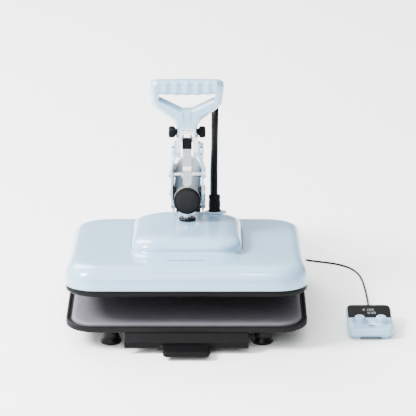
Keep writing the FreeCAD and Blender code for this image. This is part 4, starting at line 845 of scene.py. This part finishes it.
def tray_ring(inset, z):
    """The tray's outline drawn in by an inset."""
    return rounded_ring(TRAY_HALF_WIDTH - inset, inset, TRAY_DEPTH - inset,
                        TRAY_RADIUS - inset, z)


def skirt_height(y, z):
    """The tray's skirt stops short of its rear edge, to pass over the slide rails."""
    return max(z, TRAY_FLOOR) if y > SKIRT_END else z


def make_tray():
    """The black tray and the silicone pad that fills it."""
    profile = [(5, 38), (4.2, 35.6), (3.4, 35), (1.2, 35), (0.1, 36), (0, 43.2), (0.5, 44.5),
               (1.4, 45), (4, 45), (5, 44.3), (5.6, 41.2)]
    tray = loft("tray_shell", [tray_ring(inset, lambda y, z=z: skirt_height(y, z))
                               for inset, z in profile])
    piece("tray_shell", tray, FIXED, "drawer", "black_metal", instead_of=("lower_tray",))
    profile = [(12.5, 41), (10.8, 41.6), (10.1, 43.4), (10.2, 45.6), (11.6, 47.7),
               (14.2, 49), (18, 49.4), (40, 49.5), (90, 49.5)]
    pad = loft("press_pad", [tray_ring(inset, z) for inset, z in profile])
    cushion = piece("press_pad", pad, FIXED, "drawer", "silicone",
                    instead_of=("silicone_pad",))


def make_pull():
    """A sloping bar along the drawer's front edge, with a tab to pull."""
    section = rounded([(0, 34.8, 2), (-12, 21.5, 2.5), (-12, 11, 1.6), (-9, 11, 1.2),
                       (-7, 19, 3), (8, 31, 3), (10, 34.8, 1)], 4)
    rings = []
    for x, shrink in ((-107, 0.9), (-106.2, 0.3), (-105, 0), (105, 0), (106.2, 0.3),
                      (107, 0.9)):
        rings.append([Vector((x, p.x * (1 - 0.02 * shrink), p.y - 0.6 * shrink))
                      for p in section])
    bar = loft("pull_bar", rings)
    outline = rounded([(-50, -11, 2), (-40, -16, 7), (-40, -44.8, 6), (40, -44.8, 6),
                       (40, -16, 7), (50, -11, 2), (50, -3, 1), (-50, -3, 1)])
    tab = plate("pull_tab", [outline], 9.6, 3.4, 5)
    tab.transform(at(0, 0, 11.9))
    piece("pull_handle", joined("pull_handle", [bar, tab]), FIXED, "drawer",
          "black_plastic", instead_of=("drawer_pull",))


# ---------------------------------------------------------------- rear box

BOX_HALF_WIDTH, BOX_FRONT, BOX_REAR = 80, 507, 560
BOX_SPLIT, BOX_TOP = 51, 57


def make_box_details():
    """The rear box's cover with its screws, its vents and its two glands."""
    lid = rounded_box("box_lid", (-BOX_HALF_WIDTH, BOX_HALF_WIDTH), (BOX_FRONT, BOX_REAR),
                      (BOX_SPLIT, BOX_TOP), 3)
    piece("box_lid", lid, FIXED, "base", "black_metal", instead_of=("box_cover",))
    profile = [(3.2, 0), (3.2, 0.6), (2.4, 1.2), (0.8, 1.4)]
    screws = []
    for x in (-56, 56):
        for y in (BOX_FRONT + 11, BOX_REAR - 11):
            head = lathe("cover_screw", [(r, BOX_TOP + z) for r, z in profile], 24)
            head.transform(at(x, y, 0))
            screws.append(head)
    piece("cover_screws", joined("cover_screws", screws), FIXED, "base", "steel")
    slots = [rounded_box("vent", (x, x + 3), (BOX_REAR - 0.6, BOX_REAR + 0.5), (35, 48), 0.5)
             for x in range(20, 76, 7)]
    piece("box_vents", joined("box_vents", slots), FIXED, "base", "black_plastic")
    x, y, top = CONDUIT_ROUTE[-1]
    section = [(6.6, BOX_TOP), (12, BOX_TOP), (12, 65.4), (10.8, 66), (10, 66.6),
               (10.2, top - 1), (9.4, top), (6.6, top)]
    collar = ring_body("rear_gland_nut", section, 72, 12, 0.3)
    piece("rear_gland_nut", collar, FIXED @ at(x, y, 0), "base", "black_plastic",
          instead_of=("rear_conduit_gland",))
    profile = [(7, 0), (7, 3.6), (6.2, 4), (5.6, 6), (4.8, 9), (3.9, 11.4), (3.2, 12)]
    boot = lathe("side_gland", [(r, BOX_HALF_WIDTH + x) for r, x in profile], 48, 6, 0.35)
    _, y, z = CORD_ROUTE[0]
    piece("side_gland", boot, FIXED @ at(0, y, z), "base", "black_plastic",
          instead_of=("cord_gland",), local=AXIS_X)


# ---------------------------------------------------------------- controller

REMOTE_X, REMOTE_HALF, REMOTE_FRONT, REMOTE_REAR = 322, 40, 52, 149
FRONT_TOP, REAR_TOP = 20, 30
SLOPE = math.atan2(REAR_TOP - FRONT_TOP, REMOTE_REAR - REMOTE_FRONT)
ON_TABLE = FIXED @ at(REMOTE_X, 0, 0)
DIAL_SPREAD, DIAL_Y, BUTTON_Y, SCREEN_Y = 18.7, 80, 63, 98


def top_at(y, below=0.0):
    """The height of the sloping top, or of a line so far below it."""
    return FRONT_TOP + (y - REMOTE_FRONT) * math.tan(SLOPE) - below


def on_top(x, y):
    """The place of a control drawn upright at the table's origin."""
    return ON_TABLE @ at(x, y, top_at(y)) @ Matrix.Rotation(SLOPE, 4, "X")


def case_ring(inset, height):
    """The controller's outline drawn in by an inset, at a height that may follow y."""
    radius = max(12 - 0.6 * inset, 4)
    return rounded_ring(REMOTE_HALF - inset, REMOTE_FRONT + inset, REMOTE_REAR - inset,
                        radius, height)


def make_controller_case():
    """A soft wedge on a thin black foot, with a strip of painted shade for the slot under its front edge."""
    low = [(8, 0.5), (7.2, 0.9), (4.8, 4), (2.6, 6.6), (0.7, 8.4), (0, 9.8)]
    rings = [case_ring(inset, z) for inset, z in low]
    for inset, below in ((0, 5), (0.35, 3.2), (1.3, 1.5), (2.8, 0.4), (4.5, 0), (12, 0)):
        rings.append(case_ring(inset, lambda y, b=below: top_at(y, b)))
    foot = loft("remote_foot", [case_ring(9, z) for z in (0.1, 1.6)])
    piece("remote_foot", foot, ON_TABLE, "base", "black_plastic",
          instead_of=("controller_base",))
    case = loft("remote_case", rings)
    piece("remote_case", case, ON_TABLE, "base", "blue_shell",
          instead_of=("controller_housing",))
    # A dark blue-grey box of painted shade, standing in for the shaded slot under the front edge.
    slot = rounded_box("remote_slot_shade", (-19, 19), (REMOTE_FRONT + 1.6, REMOTE_FRONT + 8),
                       (1.6, 3.8), 0.8)
    piece("remote_slot_shade", slot, ON_TABLE, "base", "black_plastic", look=PAINTED_GAP_SHADE)


def make_screen():
    """A black glass with a slightly lighter display and plain digits in it."""
    rear = (REMOTE_REAR - SCREEN_Y - 3) / math.cos(SLOPE)
    outline = rounded([(-37.6, 0, 1.5), (37.6, 0, 1.5), (37.6, rear, 9), (-37.6, rear, 9)])
    glass = plate("remote_glass", [outline], 1.4, 0.35, 2)
    place = on_top(0, SCREEN_Y)
    piece("remote_glass", glass, place @ at(0, 0, -0.25), "base", "glass_black",
          instead_of=("controller_screen",))
    inner = rounded([(-36, 1.4, 1), (36, 1.4, 1), (36, rear - 1.6, 7.6),
                     (-36, rear - 1.6, 7.6)])
    film = plate("remote_display", [inner], 0.3, 0.1, 2)
    piece("remote_display", film, place @ at(0, 0, 0.35), "base", "glass_black",
          look=DISPLAY_GREY)
    digits = []
    for number, x, y in (("0180", -10.5, 25), ("030", -2.5, 13)):
        digits += number_meshes(number, x, y)
    piece("screen_digits", joined("screen_digits", digits), place @ at(0, 0, 0.6), "base",
          "glass_black", look=DIGIT_WHITE)


SEGMENTS = {"0": "abcdef", "1": "bc", "3": "abcdg", "8": "abcdefg"}
DIGIT_WIDTH, DIGIT_HEIGHT, DIGIT_PITCH, STROKE = 3.2, 7.4, 5.2, 0.6


def number_meshes(number, x, y):
    """Seven-segment digits, built from short bars."""
    w, h, s = DIGIT_WIDTH, DIGIT_HEIGHT, STROKE
    bars = {"a": (0, h - s, w, h), "g": (0, (h - s) / 2, w, (h + s) / 2), "d": (0, 0, w, s),
            "f": (0, h / 2, s, h), "b": (w - s, h / 2, w, h), "e": (0, 0, s, h / 2),
            "c": (w - s, 0, w, h / 2)}
    meshes = []
    for i, digit in enumerate(number):
        left = x + i * DIGIT_PITCH
        for key in SEGMENTS[digit]:
            x0, y0, x1, y1 = bars[key]
            meshes.append(rounded_box("segment", (left + x0, left + x1), (y + y0, y + y1),
                                      (0, 0.25), 0.1))
    return meshes


def make_dials():
    """Domed dials that rise out of flared rings on the case."""
    profile = [(9.5, 0.6), (9.6, 1.2), (9.6, 6.5), (9.4, 8.6), (8.8, 10.4), (7.6, 11.5),
               (5.6, 12), (4.6, 12), (3.9, 11.7), (1.2, 11.6)]
    flare = [(10, 0), (17, 0), (15.2, 0.35), (13.2, 1.2), (11.8, 2.6), (10.9, 4.4),
             (10.5, 6), (10.2, 6.4), (10, 6.2)]
    for node, body, sign in (("temperature_knob", "temperature_dial", -1),
                             ("timer_knob", "timer_dial", 1)):
        place = on_top(sign * DIAL_SPREAD, DIAL_Y)
        dome = lathe("dial", profile, 96, 24, 0.12)
        stem = lathe("dial_stem", [(2.9, -9), (3, -8.6), (3, 0.6)], 24)
        piece(f"dial_{body}", joined("dial", [dome, stem]), place, body, "blue_shell",
              instead_of=(node,))
        mark = lathe("dial_mark", [(0.9, 0), (0.9, 0.35), (0.5, 0.5)], 20)
        piece(f"dial_mark_{body}", mark, place @ at(-1, 2.6, 11.5), body, "blue_shell",
              look=PRINT_GREY)
        ring = ring_body("dial_flare", flare, 72)
        piece(f"dial_flare_{body}", ring, place @ at(0, 0, -0.1), "base", "blue_shell")


def pill(half_width, half_height, radius):
    """A rectangle whose short ends are all but round."""
    return rounded([(-half_width, -half_height, radius), (half_width, -half_height, radius),
                    (half_width, half_height, radius), (-half_width, half_height, radius)])


def make_button():
    """A pill-shaped key with a dark face."""
    place = on_top(0, BUTTON_Y)
    cap = plate("start_key", [pill(7.5, 2.8, 2.7)], 8.2, 0.8, 3)
    cap.transform(at(0, 0, -1.9))
    piece("start_key", cap, place, "button", "blue_shell", instead_of=("start_button",))
    face = plate("start_face", [pill(5.8, 1.9, 1.8)], 0.5, 0.15, 2)
    piece("start_face", face, place @ at(0, 0, 2.15), "button", "black_plastic",
          look=BUTTON_GREY)


BOOT_RIBS = 7


def make_relief():
    """A tapering ribbed boot where the cord enters the controller."""
    profile = [(2.9, -4)]
    for i in range(BOOT_RIBS):
        y = 0.2 + 2.8 * i
        radius = 3.6 - 0.17 * i
        profile += [(radius, y), (radius, y + 1.7), (radius - 0.7, y + 1.9),
                    (radius - 0.7, y + 2.7)]
    profile.append((1.9, 20))
    boot = lathe("lead_boot", profile, 32)
    piece("lead_boot", boot, ON_TABLE @ at(4, REMOTE_REAR, 12), "base", "rubber",
          instead_of=("cord_strain_relief",), local=AXIS_Y)


# ---------------------------------------------------------------- stage

FLOOR_HALF = 12.0


def make_stage():
    """A plain pale floor."""
    half = FLOOR_HALF
    floor = new_mesh("floor", [(-half, -half, 0), (half, -half, 0), (half, half, 0),
                               (-half, half, 0)], [(0, 1, 2, 3)])
    floor.materials.append(surface("floor", (0.95, 0.95, 0.95), (0.55, 0.7), grain=3,
                                   fine=200, bump=0.02, tint=0.004, specular=0.25))
    ground = bpy.data.objects.new("floor", floor)
    bpy.context.scene.collection.objects.link(ground)


def area_light(name, place, target, size, power):
    """A round lamp that looks at a point; its size is in metres and its power in watts."""
    data = bpy.data.lights.new(name, "AREA")
    data.shape = "DISK"
    data.size = size
    data.energy = power
    light = bpy.data.objects.new(name, data)
    light.location = place
    light.rotation_euler = (Vector(target) - Vector(place)).to_track_quat("-Z", "Y").to_euler()
    bpy.context.scene.collection.objects.link(light)


LIT_POINT = (0, 0, 0.1)
SKY_STRENGTH, SKY_SLANT = 2.5, (-0.55, 0.0, 0.75)
SKY_ENDS, SKY_TONES = (0.0, 0.75), (0.12, 1.5)


def make_lights():
    """A broad key from the upper left, weaker lamps round it and a dim sky to the right."""
    area_light("key", (-2.5, -1.0, 2.4), (-0.05, 0, 0.1), 1.2, 420)
    area_light("front_fill", (-0.6, -3.4, 2.1), LIT_POINT, 2.0, 50)
    area_light("sparkle", (0.2, -2.2, 2.9), LIT_POINT, 0.28, 28)
    area_light("rear_rim", (-1.5, 2.4, 2.3), LIT_POINT, 1.8, 130)
    world = bpy.data.worlds.new("studio")
    world.use_nodes = True
    nodes, links = world.node_tree.nodes, world.node_tree.links
    back = nodes["Background"]
    back.inputs["Strength"].default_value = SKY_STRENGTH
    place = nodes.new("ShaderNodeTexCoord")
    slant = nodes.new("ShaderNodeVectorMath")
    slant.operation = "DOT_PRODUCT"
    slant.inputs[1].default_value = SKY_SLANT
    links.new(place.outputs["Generated"], slant.inputs[0])
    sky = nodes.new("ShaderNodeValToRGB")
    for element, position, tone in zip(sky.color_ramp.elements, SKY_ENDS, SKY_TONES):
        element.position = position
        element.color = (0.98 * tone, 0.99 * tone, tone, 1)
    links.new(slant.outputs["Value"], sky.inputs["Fac"])
    links.new(sky.outputs["Color"], back.inputs["Color"])
    bpy.context.scene.world = world


# ---------------------------------------------------------------- making it all

make_camera()
dress_nodes()
make_cord()
make_conduit()
make_lid()
make_hump()
make_lid_marks()
make_gland()
make_ring_nut()
make_saddle_block()
make_end_cap()
make_grip()
make_clamp_knobs()
make_fasteners()
make_feet()
make_tray()
make_pull()
make_box_details()
make_controller_case()
make_screen()
make_dials()
make_button()
make_relief()
make_stage()
make_lights()
